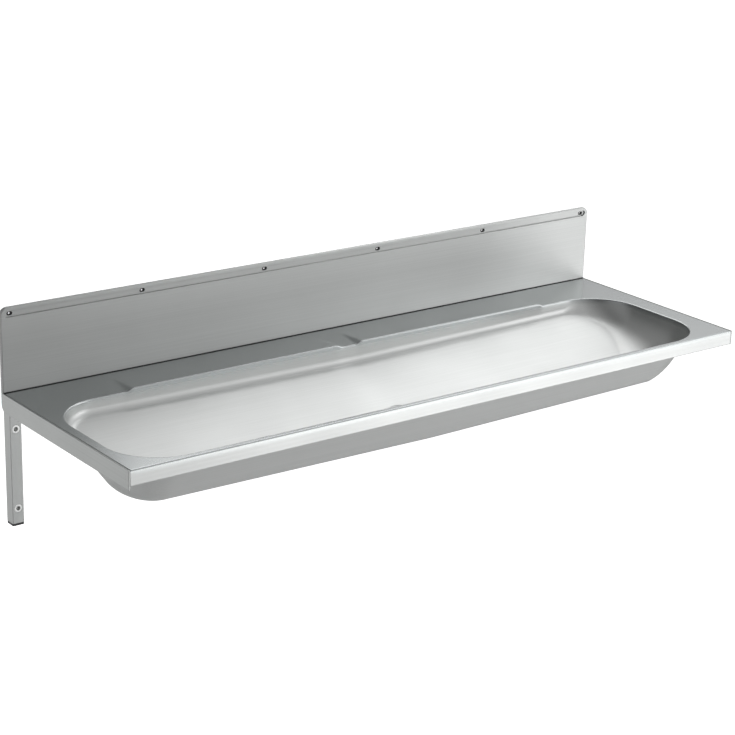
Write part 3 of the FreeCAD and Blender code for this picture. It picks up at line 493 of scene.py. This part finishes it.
def floor_point(core, out):
    """Point of the floor's outline below a point of the opening."""
    radius = RIGHT_CORNER if out.x > SQUARE else FLOOR_CORNER
    low = Vector((RIM_LEFT + END_INSET + FLOOR_CORNER, RIM_FRONT + FRONT_INSET + radius))
    high = Vector((RIM_RIGHT - END_INSET - RIGHT_CORNER, FLOOR_BACK - radius))
    rim_end, floor_end = RIM_LEFT + RIM_CORNER, low.x
    if core.x > BOWL_MIDDLE:
        rim_end, floor_end = RIM_RIGHT - RIM_CORNER, high.x
    spot = Vector((remap(core.x, BOWL_MIDDLE, rim_end, BOWL_MIDDLE, floor_end),
                   remap(core.y, RIM_FRONT + RIM_CORNER, RIM_BACK - RIM_CORNER, low.y, high.y)))
    return spot + out * radius


def section(x, y):
    """All stations of the sheet through one point of the opening."""
    core = Vector((clamp(x, RIM_LEFT + RIM_CORNER, RIM_RIGHT - RIM_CORNER),
                   clamp(y, RIM_FRONT + RIM_CORNER, RIM_BACK - RIM_CORNER)))
    point = Vector((x, y))
    out = (point - core).normalized()
    edge, side = deck_edge(point, out)
    drop = APRON if side.y < 0 else FLANGE if side.y > 0 else LIP
    bend = FRONT_BEND if side.y < 0 else REAR_BEND if side.y > 0 else END_BEND
    stations = [Vector((edge.x, edge.y, z)) for z in (-drop, -drop + LIP_HOLD, -bend - BEND_HOLD)]
    for step in range(BEND_STEPS + 1):
        turn = math.radians(90 - 90 / BEND_STEPS * step)
        shift = side * (bend * (math.sin(turn) - 1))
        stations.append(Vector((edge.x + shift.x, edge.y + shift.y, -bend * (1 - math.cos(turn)))))
    rim = Vector((x, y, platform_height(x, y)))
    foot = floor_point(core, out)
    foot = Vector((foot.x, foot.y, floor_height(foot.x, foot.y)))
    wall = (foot - rim).normalized()
    over, reach = arc(rim, Vector((out.x, out.y, 0)), wall, RIM_BEND, RIM_STEPS)
    inner = edge - side * bend
    outer_hold = point + out * (reach + RIM_HOLD)
    for share in DECK_SHARES:
        spot = inner.lerp(outer_hold, share)
        stations.append(Vector((spot.x, spot.y, platform_height(spot.x, spot.y))))
    stations += over
    lean = math.copysign(CENTRE_FALL, foot.x - BOWL_MIDDLE) if abs(foot.x - BOWL_MIDDLE) > TIGHT else 0.0
    inward = Vector((-out.x, -out.y, -out.x * lean - out.y * FLOOR_SLOPE)).normalized()
    largest = BEND_SHARE * (foot - rim).length * math.tan(inward.angle(-wall) / 2)
    fillet = SIDE_FILLET + (END_FILLET - SIDE_FILLET) * max(out.x, 0.0)
    fillet = min(fillet + (BACK_FILLET - SIDE_FILLET) * max(out.y, 0.0), largest)
    round_floor, floor_reach = arc(foot, -wall, inward, fillet, FLOOR_STEPS)
    for share in WALL_SHARES:
        stations.append(over[-1].lerp(round_floor[0], share))
    stations += round_floor
    stations.append(foot + inward * (floor_reach + FLOOR_HOLD))
    return stations


print("stations of one section:", len(section(BOWL_MIDDLE, RIM_BACK)))

# %% Draw the opening: a plane with rounded corners, divided finely at the back where the platforms are
clear()
bpy.ops.mesh.primitive_plane_add(size=1, location=(BOWL_MIDDLE * MM, (RIM_FRONT + RIM_BACK) / 2 * MM, 0))
basin = bpy.context.object
basin.name = "pressed_basin"
bpy.ops.transform.resize(value=((RIM_RIGHT - RIM_LEFT) * MM, (RIM_BACK - RIM_FRONT) * MM, 1))
bpy.ops.object.transform_apply(location=True, rotation=True, scale=True)
bpy.ops.object.mode_set(mode="EDIT")
bpy.ops.mesh.select_mode(type="VERT")
bpy.ops.mesh.select_all(action="SELECT")
bpy.ops.mesh.bevel(offset=RIM_CORNER * MM, segments=CORNER_STEPS, profile=0.5, affect="VERTICES")
bpy.ops.mesh.select_all(action="SELECT")
bpy.ops.mesh.delete(type="ONLY_FACE")


def split(test, cuts):
    """Divides the picked straight edges."""
    pick("EDGE", test)
    bpy.ops.mesh.subdivide(number_cuts=cuts)


# Lengths in metres: half a long side, a short side, and one of the back side's steps at most
LONG_EDGE, SHORT_EDGE, STEP_EDGE = 0.4, 0.05, 0.02
BACK_CUTS, FRONT_CUTS, END_CUTS = 79, 29, 3
split(lambda e: e.calc_length() > SHORT_EDGE and abs(along(e).x) > PARALLEL, 1)
split(lambda e: e.calc_length() > LONG_EDGE and middle(e).y > RIM_BACK - LOOSE, BACK_CUTS)
split(lambda e: e.calc_length() < STEP_EDGE and abs(middle(e).y - RIM_BACK) < TIGHT, 1)
split(lambda e: e.calc_length() > LONG_EDGE, FRONT_CUTS)
split(lambda e: e.calc_length() > SHORT_EDGE, END_CUTS)
bm = bmesh.from_edit_mesh(basin.data)
home = bm.verts.layers.float_vector.new("opening")
for v in bm.verts:
    v[home] = v.co
bmesh.update_edit_mesh(basin.data)
print("points round the opening:", len(bm.verts))

# %% Draw the sheet: extrude the loop from station to station
drawn = {}


def settle(station):
    """Moves the selected loop to its station."""
    bm = bmesh.from_edit_mesh(basin.data)
    home = bm.verts.layers.float_vector["opening"]
    for v in bm.verts:
        if v.select:
            key = (round(v[home].x / MM, 3), round(v[home].y / MM, 3))
            if key not in drawn:
                drawn[key] = section(*key)
            v.co = drawn[key][station] * MM
    bmesh.update_edit_mesh(basin.data)


bpy.ops.mesh.select_mode(type="EDGE")
bpy.ops.mesh.select_all(action="SELECT")
settle(0)
for station in range(1, len(section(BOWL_MIDDLE, RIM_BACK))):
    bpy.ops.mesh.extrude_edges_move()
    settle(station)
print("sheet drawn:", len(basin.data.vertices), "points before the floor")

# %% [markdown]
# ## Floor and outlet
# The floor is two flat panes that fall to the front and to the middle, where the outlet sits in a
# round recess. A circle is drawn on the floor, joined to the bowl by two edges along the crease, and
# each half is filled. The circle is then extruded down into the recess, with a bend at its edge and
# at its bottom.

# %% Fill the floor round the outlet
OUTLET_Y, RECESS_Z, RECESS_RADIUS, RECESS_BEND, OUTLET_HOLE = -258.0, -89.624, 30.0, 2.0, 22.0
# Half the crease's width, its highest point and the length that its two edges exceed, in metres
CREASE_HALF, CREASE_TOP, CREASE_EDGE = 2e-5, -0.02, 0.02
bpy.ops.mesh.select_all(action="DESELECT")
bpy.ops.mesh.primitive_circle_add(
    vertices=64, radius=(RECESS_RADIUS + RECESS_BEND) * MM,
    location=Vector((BOWL_MIDDLE, OUTLET_Y, floor_height(BOWL_MIDDLE, OUTLET_Y))) * MM)
bm = bmesh.from_edit_mesh(basin.data)
for v in bm.verts:
    if v.select:
        v.co.z = floor_height(v.co.x / MM, v.co.y / MM) * MM
bmesh.update_edit_mesh(basin.data)


def open_floor(part):
    """Points of the floor's open loops, which lie inside the opening."""
    inside = RIM_LEFT < part.co.x / MM < RIM_RIGHT and RIM_FRONT < part.co.y / MM < RIM_BACK
    return inside and any(len(e.link_faces) < 2 for e in part.link_edges)


def on_crease(part):
    return abs(part.co.x - BOWL_MIDDLE * MM) < CREASE_HALF


def on_half(part, side):
    """Open points left or right of the crease, those on it included."""
    return open_floor(part) and (part.co.x - BOWL_MIDDLE * MM) * side > -CREASE_HALF


for behind in (True, False):
    pick("VERT", lambda v: on_crease(v) and open_floor(v) and (v.co.y > OUTLET_Y * MM) == behind)
    bpy.ops.mesh.edge_face_add()
for side in (-1, 1):
    pick("EDGE", lambda e: len(e.link_faces) < 2 and all(on_half(v, side) for v in e.verts))
    bpy.ops.mesh.fill(use_beauty=True)
pick("EDGE", lambda e: e.calc_length() > CREASE_EDGE
     and all(on_crease(v) and v.co.z < CREASE_TOP for v in e.verts))
bpy.ops.mesh.mark_sharp()
print("floor filled:", len(bmesh.from_edit_mesh(basin.data).faces), "faces")

# %% Press the recess for the outlet
# Radius of each loop, with its depth below the floor and then its height above the recess's bottom
UPPER_BEND = ((31.0, 0.27), (30.27, 1.0), (RECESS_RADIUS, RECESS_BEND))
LOWER_BEND = ((RECESS_RADIUS, 2.0), (29.4, 0.6), (28.0, 0.0), (OUTLET_HOLE, 0.0))


def on_circle(part):
    away = math.hypot(part.co.x / MM - BOWL_MIDDLE, part.co.y / MM - OUTLET_Y)
    return abs(away - RECESS_RADIUS - RECESS_BEND) < LOOSE


def recess_loop(radius, height):
    """Moves the selected circle to a radius and to the height that is given for each place."""
    bm = bmesh.from_edit_mesh(basin.data)
    for v in bm.verts:
        if v.select:
            offset = Vector((v.co.x / MM - BOWL_MIDDLE, v.co.y / MM - OUTLET_Y)).normalized() * radius
            x, y = BOWL_MIDDLE + offset.x, OUTLET_Y + offset.y
            v.co = Vector((x, y, height(x, y))) * MM
    bmesh.update_edit_mesh(basin.data)


pick("EDGE", lambda e: len(e.link_faces) == 1 and all(on_circle(v) for v in e.verts))
for radius, below in UPPER_BEND:
    bpy.ops.mesh.extrude_edges_move()
    recess_loop(radius, lambda x, y: floor_height(x, y) - below)
for radius, above in LOWER_BEND:
    bpy.ops.mesh.extrude_edges_move()
    recess_loop(radius, lambda x, y: RECESS_Z + above)
print("recess pressed:", len(bmesh.from_edit_mesh(basin.data).faces), "faces")

# %% Fold the apron's return, trim the lips at the posts and thicken the sheet


def apron_edge(e):
    """Edges along the apron's lower edge."""
    level = abs(middle(e).y - DECK_FRONT) < LOOSE and abs(middle(e).z + APRON) < LOOSE
    return level and abs(along(e).x) > PARALLEL


def at_post(f):
    """Faces of the lips and the rear flange where a post stands."""
    return middle(f).z < -FRONT_BEND - LOOSE and abs(middle(f).x) > FLANGE_HALF and middle(f).y > -POST_ROOM


pick("EDGE", apron_edge)
bpy.ops.mesh.extrude_edges_move(TRANSFORM_OT_translate={"value": (0, APRON_RETURN * MM, 0)})
pick("EDGE", apron_edge)
bpy.ops.mesh.bevel(offset=APRON_BEND * MM, segments=4, affect="EDGES")
pick("FACE", at_post)
bpy.ops.mesh.delete(type="FACE")
bpy.ops.mesh.select_all(action="SELECT")
bpy.ops.mesh.normals_make_consistent(inside=False)
bm = bmesh.from_edit_mesh(basin.data)
deck_up = sum(f.normal.z * f.calc_area() for f in bm.faces if abs(middle(f).z) < TIGHT)
if deck_up < 0:
    bpy.ops.mesh.flip_normals()
bpy.ops.object.mode_set(mode="OBJECT")
apply(basin, "SOLIDIFY", thickness=SHEET * MM, offset=-1.0, use_even_offset=True)
hand_over(basin, basin_steel, "basin_steel", "basin")

# %% [markdown]
# ## Sound pads
# Thin steel drums when water falls on it, so a rubber pad is glued under each half of the floor. A
# pad could be cut from the floor's own faces, but it is a plain flat slab: a box is turned to the
# floor's two slopes and set below it.

# %% Pads under the floor
PAD_LENGTH, PAD_WIDTH, PAD_THICKNESS, PAD_OFFSET, PAD_EDGE = 260.0, 90.0, 2.5, 290.0, 0.6
PAD_Y = (RIM_FRONT + FRONT_INSET + FLOOR_BACK) / 2
# Straight down through a sloping floor the sheet measures a little more than its thickness
PLUMB_SHARE, PAD_GLUE = 1.06, 0.1
PAD_DROP = SHEET * PLUMB_SHARE + PAD_GLUE


def make_pad(name, sign):
    """Pad on one side of the middle, turned to the floor's slopes."""
    pad = block(name, (-PAD_LENGTH / 2, -PAD_WIDTH / 2, -PAD_THICKNESS), (PAD_LENGTH / 2, PAD_WIDTH / 2, 0))
    x = BOWL_MIDDLE + sign * PAD_OFFSET
    pad.rotation_euler = (math.atan(FLOOR_SLOPE), -sign * math.atan(CENTRE_FALL), 0)
    pad.location = Vector((x, PAD_Y, floor_height(x, PAD_Y) - PAD_DROP)) * MM
    bpy.ops.object.transform_apply(location=True, rotation=True, scale=True)
    soften(pad, PAD_EDGE)
    return pad


for side, sign in (("left", -1), ("right", 1)):
    hand_over(make_pad(f"{side}_sound_pad", sign), pad_rubber, "damping_rubber", f"{side}_damping_pad")

# %% [markdown]
# ## The splashback
# A shallow tray whose edges turn back to the wall. A groove runs along its top and six small slots in
# it take the wall screws. A box with rounded corners is the plain start. The groove and slots are cut
# with rounded bars, which are boxes with bevelled ends, and the tray's back is hollowed so that it
# looks right from behind too.

# %% Tray with rounded corners and edges
SPLASH_TOP, SPLASH_DEPTH, SPLASH_SHEET, SPLASH_FOOT = 136.5, 5.0, 1.2, 26.0
SPLASH_CORNER, SPLASH_BEND = 13.0, 2.8
GROOVE_TOP, GROOVE_HEIGHT, GROOVE_HALF, GROOVE_DEPTH, GROOVE_BEND = 130.5, 9.5, 593.0, 2.2, 1.1
GROOVE_LOW = GROOVE_TOP - GROOVE_HEIGHT
# The hem line is a deeper slit along the groove's lower edge, and a strip sits behind the groove
HEM_INSET, HEM_BACK, HEM_LOW, HEM_HIGH, STRIP_SEAT = 4.0, -1.9, 120.2, 122.4, 1.6
SLOT_COUNT, SLOT_PITCH, SLOT_LENGTH, SLOT_WIDTH = 6, 233.2, 10.0, 6.0
# How far a cutting tool stands past what it cuts, and the share of half a bar's height that rounds its ends
PAST, ROUND_SHARE = 2.0, 0.999


def round_bar(name, x, z, length, height, front, back):
    """Bar with round ends, across the splashback."""
    bar = block(name, (x - length / 2, front, z - height / 2), (x + length / 2, back, z + height / 2))
    bpy.ops.object.mode_set(mode="EDIT")
    pick("EDGE", lambda e: abs(along(e).y) > PARALLEL)
    bpy.ops.mesh.bevel(offset=height / 2 * MM * ROUND_SHARE, segments=10, affect="EDGES")
    bpy.ops.object.mode_set(mode="OBJECT")
    return bar


def on_face(part):
    """Edges whose two ends lie on the splashback's front face."""
    return all(abs(v.co.y / MM + SPLASH_DEPTH) < TIGHT for v in part.verts)


def groove_edge(part):
    """Edges round the groove's mouth."""
    place = middle(part)
    level = GROOVE_LOW - LOOSE < place.z < GROOVE_TOP + LOOSE
    return on_face(part) and level and abs(place.x) < GROOVE_HALF + LOOSE


splash = block("splash_tray", (-HALF_LENGTH, -SPLASH_DEPTH, 0), (HALF_LENGTH, 0, SPLASH_TOP))
bpy.ops.object.mode_set(mode="EDIT")
pick("EDGE", lambda e: abs(along(e).y) > PARALLEL and middle(e).z > SPLASH_TOP - LOOSE)
bpy.ops.mesh.bevel(offset=SPLASH_CORNER * MM, segments=14, affect="EDGES")
pick("EDGE", lambda e: on_face(e) and middle(e).z > LOOSE)
bpy.ops.mesh.bevel(offset=SPLASH_BEND * MM, segments=5, affect="EDGES")
bpy.ops.object.mode_set(mode="OBJECT")
print("tray:", len(splash.data.polygons), "faces")

# %% Hollow back, groove, slots and foot
tool_front = -SPLASH_DEPTH - PAST
inner_face = -SPLASH_DEPTH + SPLASH_SHEET
inner_half = HALF_LENGTH - SPLASH_SHEET
slot_z = GROOVE_TOP - GROOVE_HEIGHT / 2
hollow_top = GROOVE_LOW - SPLASH_SHEET
seat_low = hollow_top - SPLASH_SHEET
carve(splash, [block("hollow", (-inner_half, inner_face, -PAST), (inner_half, PAST, hollow_top)),
               block("strip_seat", (-GROOVE_HALF, -STRIP_SEAT, seat_low), (GROOVE_HALF, PAST, GROOVE_TOP)),
               round_bar("groove", 0, slot_z, 2 * GROOVE_HALF, GROOVE_HEIGHT, tool_front,
                         -SPLASH_DEPTH + GROOVE_DEPTH)])
only(splash)
bpy.ops.object.mode_set(mode="EDIT")
pick("EDGE", groove_edge)
bpy.ops.mesh.bevel(offset=GROOVE_BEND * MM, segments=3, affect="EDGES", clamp_overlap=True)
bpy.ops.object.mode_set(mode="OBJECT")
hem_half = GROOVE_HALF - HEM_INSET
carve(splash, [block("hem_line", (-hem_half, tool_front, HEM_LOW), (hem_half, HEM_BACK, HEM_HIGH))])
slot_places = [(i - (SLOT_COUNT - 1) / 2) * SLOT_PITCH for i in range(SLOT_COUNT)]
carve(splash, [round_bar("slot", x, slot_z, SLOT_LENGTH, SLOT_WIDTH, tool_front, PAST)
               for x in slot_places])
foot = block("foot", (-FLANGE_HALF, -SPLASH_DEPTH, -SPLASH_FOOT), (FLANGE_HALF, inner_face, SPLASH_SHEET))
splash = merge("splash_tray", [splash, foot])
hand_over(splash, splash_steel, "splash_steel", "splashback")

# %% [markdown]
# ## The seam
# A black bead lies where the splashback stands on the deck, in a gap that shows only shade: its black
# is painted shade. It could be painted on the deck as a dark line, but a bead is round and casts its
# own small shadow, so it is a thin bar with soft edges.

# %% Black bead in the seam, its black painted shade
BEAD_HALF, BEAD_FRONT, BEAD_BACK, BEAD_LOW, BEAD_HIGH, BEAD_EDGE = 598.0, -7.0, -4.4, -0.8, 1.0, 0.6
bead = block("seam_shade_bead", (-BEAD_HALF, BEAD_FRONT, BEAD_LOW), (BEAD_HALF, BEAD_BACK, BEAD_HIGH))
soften(bead, BEAD_EDGE, 3)
hand_over(bead, black_rubber_and_shade, "black_seal")

# %% [markdown]
# ## Brackets
# Each bracket is a flat arm along the deck's end, a square tube down the wall with two round sleeves
# through it for the screws, and a black cap in the tube's lower end. They are simple enough for boxes
# and cylinders, but each edge gets a small bevel, as sawn and ground steel has.

# %% Arms
ARM_HEIGHT, ARM_ROUND, ARM_GAP, ARM_EDGE = 30.0, 12.0, 0.6, 0.4


def lower_edge(e):
    """Lower edges across an arm, one at its front and one at its back."""
    return abs(along(e).x) > PARALLEL and middle(e).z < -ARM_HEIGHT + LOOSE


def make_arm(name, low_x, high_x):
    """Plate with a round lower back corner. The right one's lower front edge rises to the apron's."""
    arm = block(name, (low_x, DECK_FRONT, -ARM_HEIGHT), (high_x, 0, 0))
    bpy.ops.object.mode_set(mode="EDIT")
    pick("EDGE", lambda e: lower_edge(e) and middle(e).y > -LOOSE)
    bpy.ops.mesh.bevel(offset=ARM_ROUND * MM, segments=10, affect="EDGES")
    if low_x > 0:
        pick("EDGE", lambda e: lower_edge(e) and middle(e).y < DECK_FRONT + LOOSE)
        bpy.ops.transform.translate(value=(0, 0, (ARM_HEIGHT - APRON) * MM))
    bpy.ops.object.mode_set(mode="OBJECT")
    soften(arm, ARM_EDGE)
    return arm


for side, sign in (("left", -1), ("right", 1)):
    arm_x = sorted((sign * HALF_LENGTH, sign * (DECK_END + ARM_GAP)))
    hand_over(make_arm(f"{side}_arm_plate", *arm_x), shaded_arm_steel, "bracket_steel", f"{side}_arm")

# %% Posts, sleeves and caps
POST_WIDTH, POST_DEPTH, POST_TOP, POST_LOW, POST_WALL, POST_EDGE = 20.0, 20.0, -2.0, -212.5, 1.5, 1.2
SLEEVE_RADIUS, SLEEVE_BORE, SLEEVE_LEVELS, SLEEVE_EDGE = 7.0, 3.25, (-56.0, -188.0), 0.7
CAP_LOW, CAP_PLUG, CAP_PLAY, CAP_CORNER, CAP_EDGE = -216.5, 12.0, 0.2, 2.0, 0.6
BACKWARDS = (0, 1, 0)


def make_post(name, low_x, high_x):
    """Open square tube with two holes for its sleeves."""
    post = block(name, (low_x, -POST_DEPTH, POST_LOW), (high_x, 0, POST_TOP))
    bpy.ops.object.mode_set(mode="EDIT")
    pick("EDGE", lambda e: abs(along(e).z) > PARALLEL)
    bpy.ops.mesh.bevel(offset=POST_EDGE * MM, segments=4, affect="EDGES")
    pick("FACE", lambda f: abs(f.normal.z) > PARALLEL)
    bpy.ops.mesh.delete(type="FACE")
    bpy.ops.object.mode_set(mode="OBJECT")
    apply(post, "SOLIDIFY", thickness=POST_WALL * MM, offset=-1.0, use_even_offset=True)
    x, front, length = (low_x + high_x) / 2, -POST_DEPTH - PAST, POST_DEPTH + 2 * PAST
    carve(post, [rod("hole", SLEEVE_RADIUS, (x, front, z), length, BACKWARDS) for z in SLEEVE_LEVELS])
    return post


def make_sleeves(name, x):
    """Two tubes through a post, in which the wall screws sit."""
    rings = []
    for z in SLEEVE_LEVELS:
        ring = rod("sleeve", SLEEVE_RADIUS, (x, -POST_DEPTH, z), POST_DEPTH, BACKWARDS, sides=40)
        bpy.ops.object.mode_set(mode="EDIT")
        pick("FACE", lambda f: abs(f.normal.y) > PARALLEL)
        bpy.ops.mesh.inset(thickness=(SLEEVE_RADIUS - SLEEVE_BORE) * MM, depth=0)
        bpy.ops.mesh.bridge_edge_loops()
        bpy.ops.object.mode_set(mode="OBJECT")
        soften(ring, SLEEVE_EDGE, 3)
        rings.append(ring)
    return merge(name, rings)


def make_cap(name, low_x, high_x):
    """Plug that closes a post, with its narrower part inside the tube."""
    cap = block(name, (low_x, -POST_DEPTH, CAP_LOW), (high_x, 0, POST_LOW))
    bpy.ops.object.mode_set(mode="EDIT")
    pick("FACE", lambda f: f.normal.z > PARALLEL)
    bpy.ops.mesh.inset(thickness=(POST_WALL + CAP_PLAY) * MM, depth=0)
    bpy.ops.mesh.extrude_region_move(TRANSFORM_OT_translate={"value": (0, 0, CAP_PLUG * MM)})
    pick("EDGE", lambda e: abs(along(e).z) > PARALLEL and middle(e).z < POST_LOW)
    bpy.ops.mesh.bevel(offset=CAP_CORNER * MM, segments=5, affect="EDGES")
    bpy.ops.object.mode_set(mode="OBJECT")
    soften(cap, CAP_EDGE)
    return cap


for side, sign in (("left", -1), ("right", 1)):
    post_x = sorted((sign * DECK_END, sign * (DECK_END - POST_WIDTH)))
    sleeves = make_sleeves(f"{side}_screw_sleeves", sign * (DECK_END - POST_WIDTH / 2))
    hand_over(make_post(f"{side}_post_tube", *post_x), shaded_post_steel, "bracket_steel", f"{side}_post")
    hand_over(sleeves, lit_sleeve_steel, "bracket_steel", f"{side}_sleeves")
    hand_over(make_cap(f"{side}_tube_cap", *post_x), cap_plastic, "black_plastic", f"{side}_end_cap")

# %% [markdown]
# ## Small hidden pieces
# Fasteners, strips, seals, the stiffener and the outlet keep their CAD shapes, which are right, and
# get finishes of their own. A CAD node's mesh is never changed: only the material in its slot is.

# %% Finishes for the CAD nodes that stay
kept = {
    channel_steel: ["tap_ledge_stiffener"],
    strip_aluminium: ["foot_backing_strip"],
    # Painted shade: the rear seal and the top backing strip are black so that the seam's gap and the slots
    # read dark
    black_rubber_and_shade: ["rear_seal", "top_backing_strip", "outlet_gasket", "outlet_seal_ring"],
    nut_plastic: ["outlet_lock_nut"],
    outlet_steel: ["outlet_spigot", "strainer"],
    fastener_steel: [n for n in nodes if n.endswith(("_studs", "_washers", "_nuts"))],
}
for finish, names in kept.items():
    for name in names:
        nodes[name].data.materials.clear()
        nodes[name].data.materials.append(finish)
print(sum(len(names) for names in kept.values()), "CAD nodes dressed")

# %% [markdown]
# ## Studio
# The trough hangs free before a white ground, with a pale floor far below it. Steel shows its
# surroundings more than its own colour, so it could be lit by one lamp only if the room did the rest.
# Here the room is a slow change of tone, palest at the front right, darkest halfway round and grey on
# the far side, and six large soft panels stand where the faces look: the window for the bowl's floor,
# the side and front panels for the splashback and apron, the others for the ends and the deck. The
# panels are wide and dim, because a small bright lamp would show as a white patch. The camera alone
# sees plain white.

# %% Pale floor
FLOOR_RADIUS, FLOOR_LEVEL = 16.0, -1.4
FLOOR_DARK, FLOOR_LIGHT = (0.88, 0.88, 0.88), (0.91, 0.91, 0.91)
clear()
bpy.ops.mesh.primitive_circle_add(vertices=96, radius=FLOOR_RADIUS, fill_type="NGON",
                                  location=(0, 0, FLOOR_LEVEL))
floor = bpy.context.object
floor.name = "studio_floor"
bpy.ops.object.transform_apply(location=True, rotation=True, scale=True)
floor_paint, tree, shader = start_material("floor_paint")
clouds = place_group(tree, cloud_group, Scale=1.5)
patchy = spread_colour(tree, clouds.outputs["Patch"], FLOOR_DARK, FLOOR_LIGHT)
tree.links.new(patchy, shader.inputs["Base Color"])
shader.inputs["Roughness"].default_value = 0.9
white = tree.nodes.new("ShaderNodeEmission")
white.inputs["Strength"].default_value = 0.9
ray = tree.nodes.new("ShaderNodeLightPath")
both = tree.nodes.new("ShaderNodeAddShader")
blend = tree.nodes.new("ShaderNodeMixShader")
output = tree.nodes["Material Output"]
tree.links.new(shader.outputs["BSDF"], both.inputs[0])
tree.links.new(white.outputs["Emission"], both.inputs[1])
tree.links.new(ray.outputs["Is Camera Ray"], blend.inputs["Fac"])
tree.links.new(shader.outputs["BSDF"], blend.inputs[1])
tree.links.new(both.outputs["Shader"], blend.inputs[2])
tree.links.new(blend.outputs["Shader"], output.inputs["Surface"])
floor.data.materials.append(floor_paint)
print("floor at", FLOOR_LEVEL, "m")

# %% Room, as the steel sees it
# Direction of the palest side, and the greys from the side opposite to it
PALE_SIDE = (0.80, -0.50, 0.33)
GREYS = ((0.0, 0.40), (0.25, 0.36), (0.50, 0.12), (0.75, 0.42), (0.90, 0.70), (1.0, 0.92))
world = bpy.data.worlds.new("studio_room")
scene.world = world
world.use_nodes = True
tree = world.node_tree
background = tree.nodes["Background"]
place = tree.nodes.new("ShaderNodeTexCoord")
towards = tree.nodes.new("ShaderNodeVectorMath")
towards.operation = "DOT_PRODUCT"
towards.inputs[1].default_value = PALE_SIDE
reach = tree.nodes.new("ShaderNodeMapRange")
reach.inputs["From Min"].default_value = -1.0
ramp = tree.nodes.new("ShaderNodeValToRGB")
for where, _ in GREYS[1:-1]:
    ramp.color_ramp.elements.new(where)
for element, (where, grey) in zip(ramp.color_ramp.elements, GREYS):
    element.position = where
    element.color = (grey, grey, grey, 1)
ray = tree.nodes.new("ShaderNodeLightPath")
seen = tree.nodes.new("ShaderNodeMix")
seen.data_type = "RGBA"
seen.inputs["B"].default_value = (1, 1, 1, 1)
tree.links.new(place.outputs["Generated"], towards.inputs[0])
tree.links.new(towards.outputs["Value"], reach.inputs["Value"])
tree.links.new(reach.outputs["Result"], ramp.inputs["Fac"])
tree.links.new(ramp.outputs["Color"], seen.inputs["A"])
tree.links.new(ray.outputs["Is Camera Ray"], seen.inputs["Factor"])
tree.links.new(seen.outputs["Result"], background.inputs["Color"])
background.inputs["Strength"].default_value = 1.0
print("room with", len(ramp.color_ramp.elements), "greys")

# %% Six soft panels


def soft_lamp(name, spot, aim, width, height, watts):
    """Flat panel of light at a spot, turned to what it aims at."""
    clear()
    turn = (Vector(aim) - Vector(spot)).to_track_quat("-Z", "Y").to_euler()
    bpy.ops.object.light_add(type="AREA", location=spot, rotation=turn)
    lamp = bpy.context.object
    lamp.name = name
    lamp.data.shape = "RECTANGLE"
    lamp.data.size, lamp.data.size_y, lamp.data.energy = width, height, watts


soft_lamp("window_lamp", (1.43, 1.32, 1.80), (-0.15, -0.1, 0), 2.2, 1.4, 20)
soft_lamp("side_lamp", (2.5, -1.75, 0.9), (0, -0.2, 0.1), 2.0, 2.0, 15)
soft_lamp("front_lamp", (1.45, -2.02, -0.8), (0.1, -0.3, -0.05), 2.2, 0.9, 12.6)
soft_lamp("back_lamp", (-2.20, 2.02, -0.8), (-0.6, -0.1, -0.05), 2.0, 1.1, 5.4)
soft_lamp("left_lamp", (-2.66, -1.0, -0.73), (-0.6, 0, 0), 1.4, 0.9, 4.8)
soft_lamp("low_lamp", (2.0, 1.35, 0.85), (0.2, -0.3, 0), 1.3, 0.65, 1.5)

# %% [markdown]
# ## Camera
# A long lens from the front left, a little above the deck, as in the photograph. Its place was worked
# out from the straight edges of the deck, the splashback and the bowl.

# %% Place the camera
YAW, TILT, ROLL = -0.6474, 0.3291, 0.0269
CAMERA_PLACE, SENSOR_WIDTH, LENS = (-1941.2469, -2704.7488, 1070.1249), 36.0, 100.589
right = Vector((math.cos(YAW), math.sin(YAW), 0))
ahead = Vector((-math.sin(YAW), math.cos(YAW), 0))
up = Vector((0, 0, 1))
look = ahead * math.cos(TILT) - up * math.sin(TILT)
rise = up * math.cos(TILT) + ahead * math.sin(TILT)
across = right * math.cos(ROLL) + rise * math.sin(ROLL)
above = rise * math.cos(ROLL) - right * math.sin(ROLL)
turn = Matrix((across, above, -look)).transposed()
bpy.ops.object.camera_add(location=Vector(CAMERA_PLACE) * MM, rotation=turn.to_euler())
camera = bpy.context.object
camera.name = "photo_camera"
camera.data.sensor_width = SENSOR_WIDTH
camera.data.lens = LENS
scene.camera = camera
print("camera at", [round(v, 3) for v in camera.location])
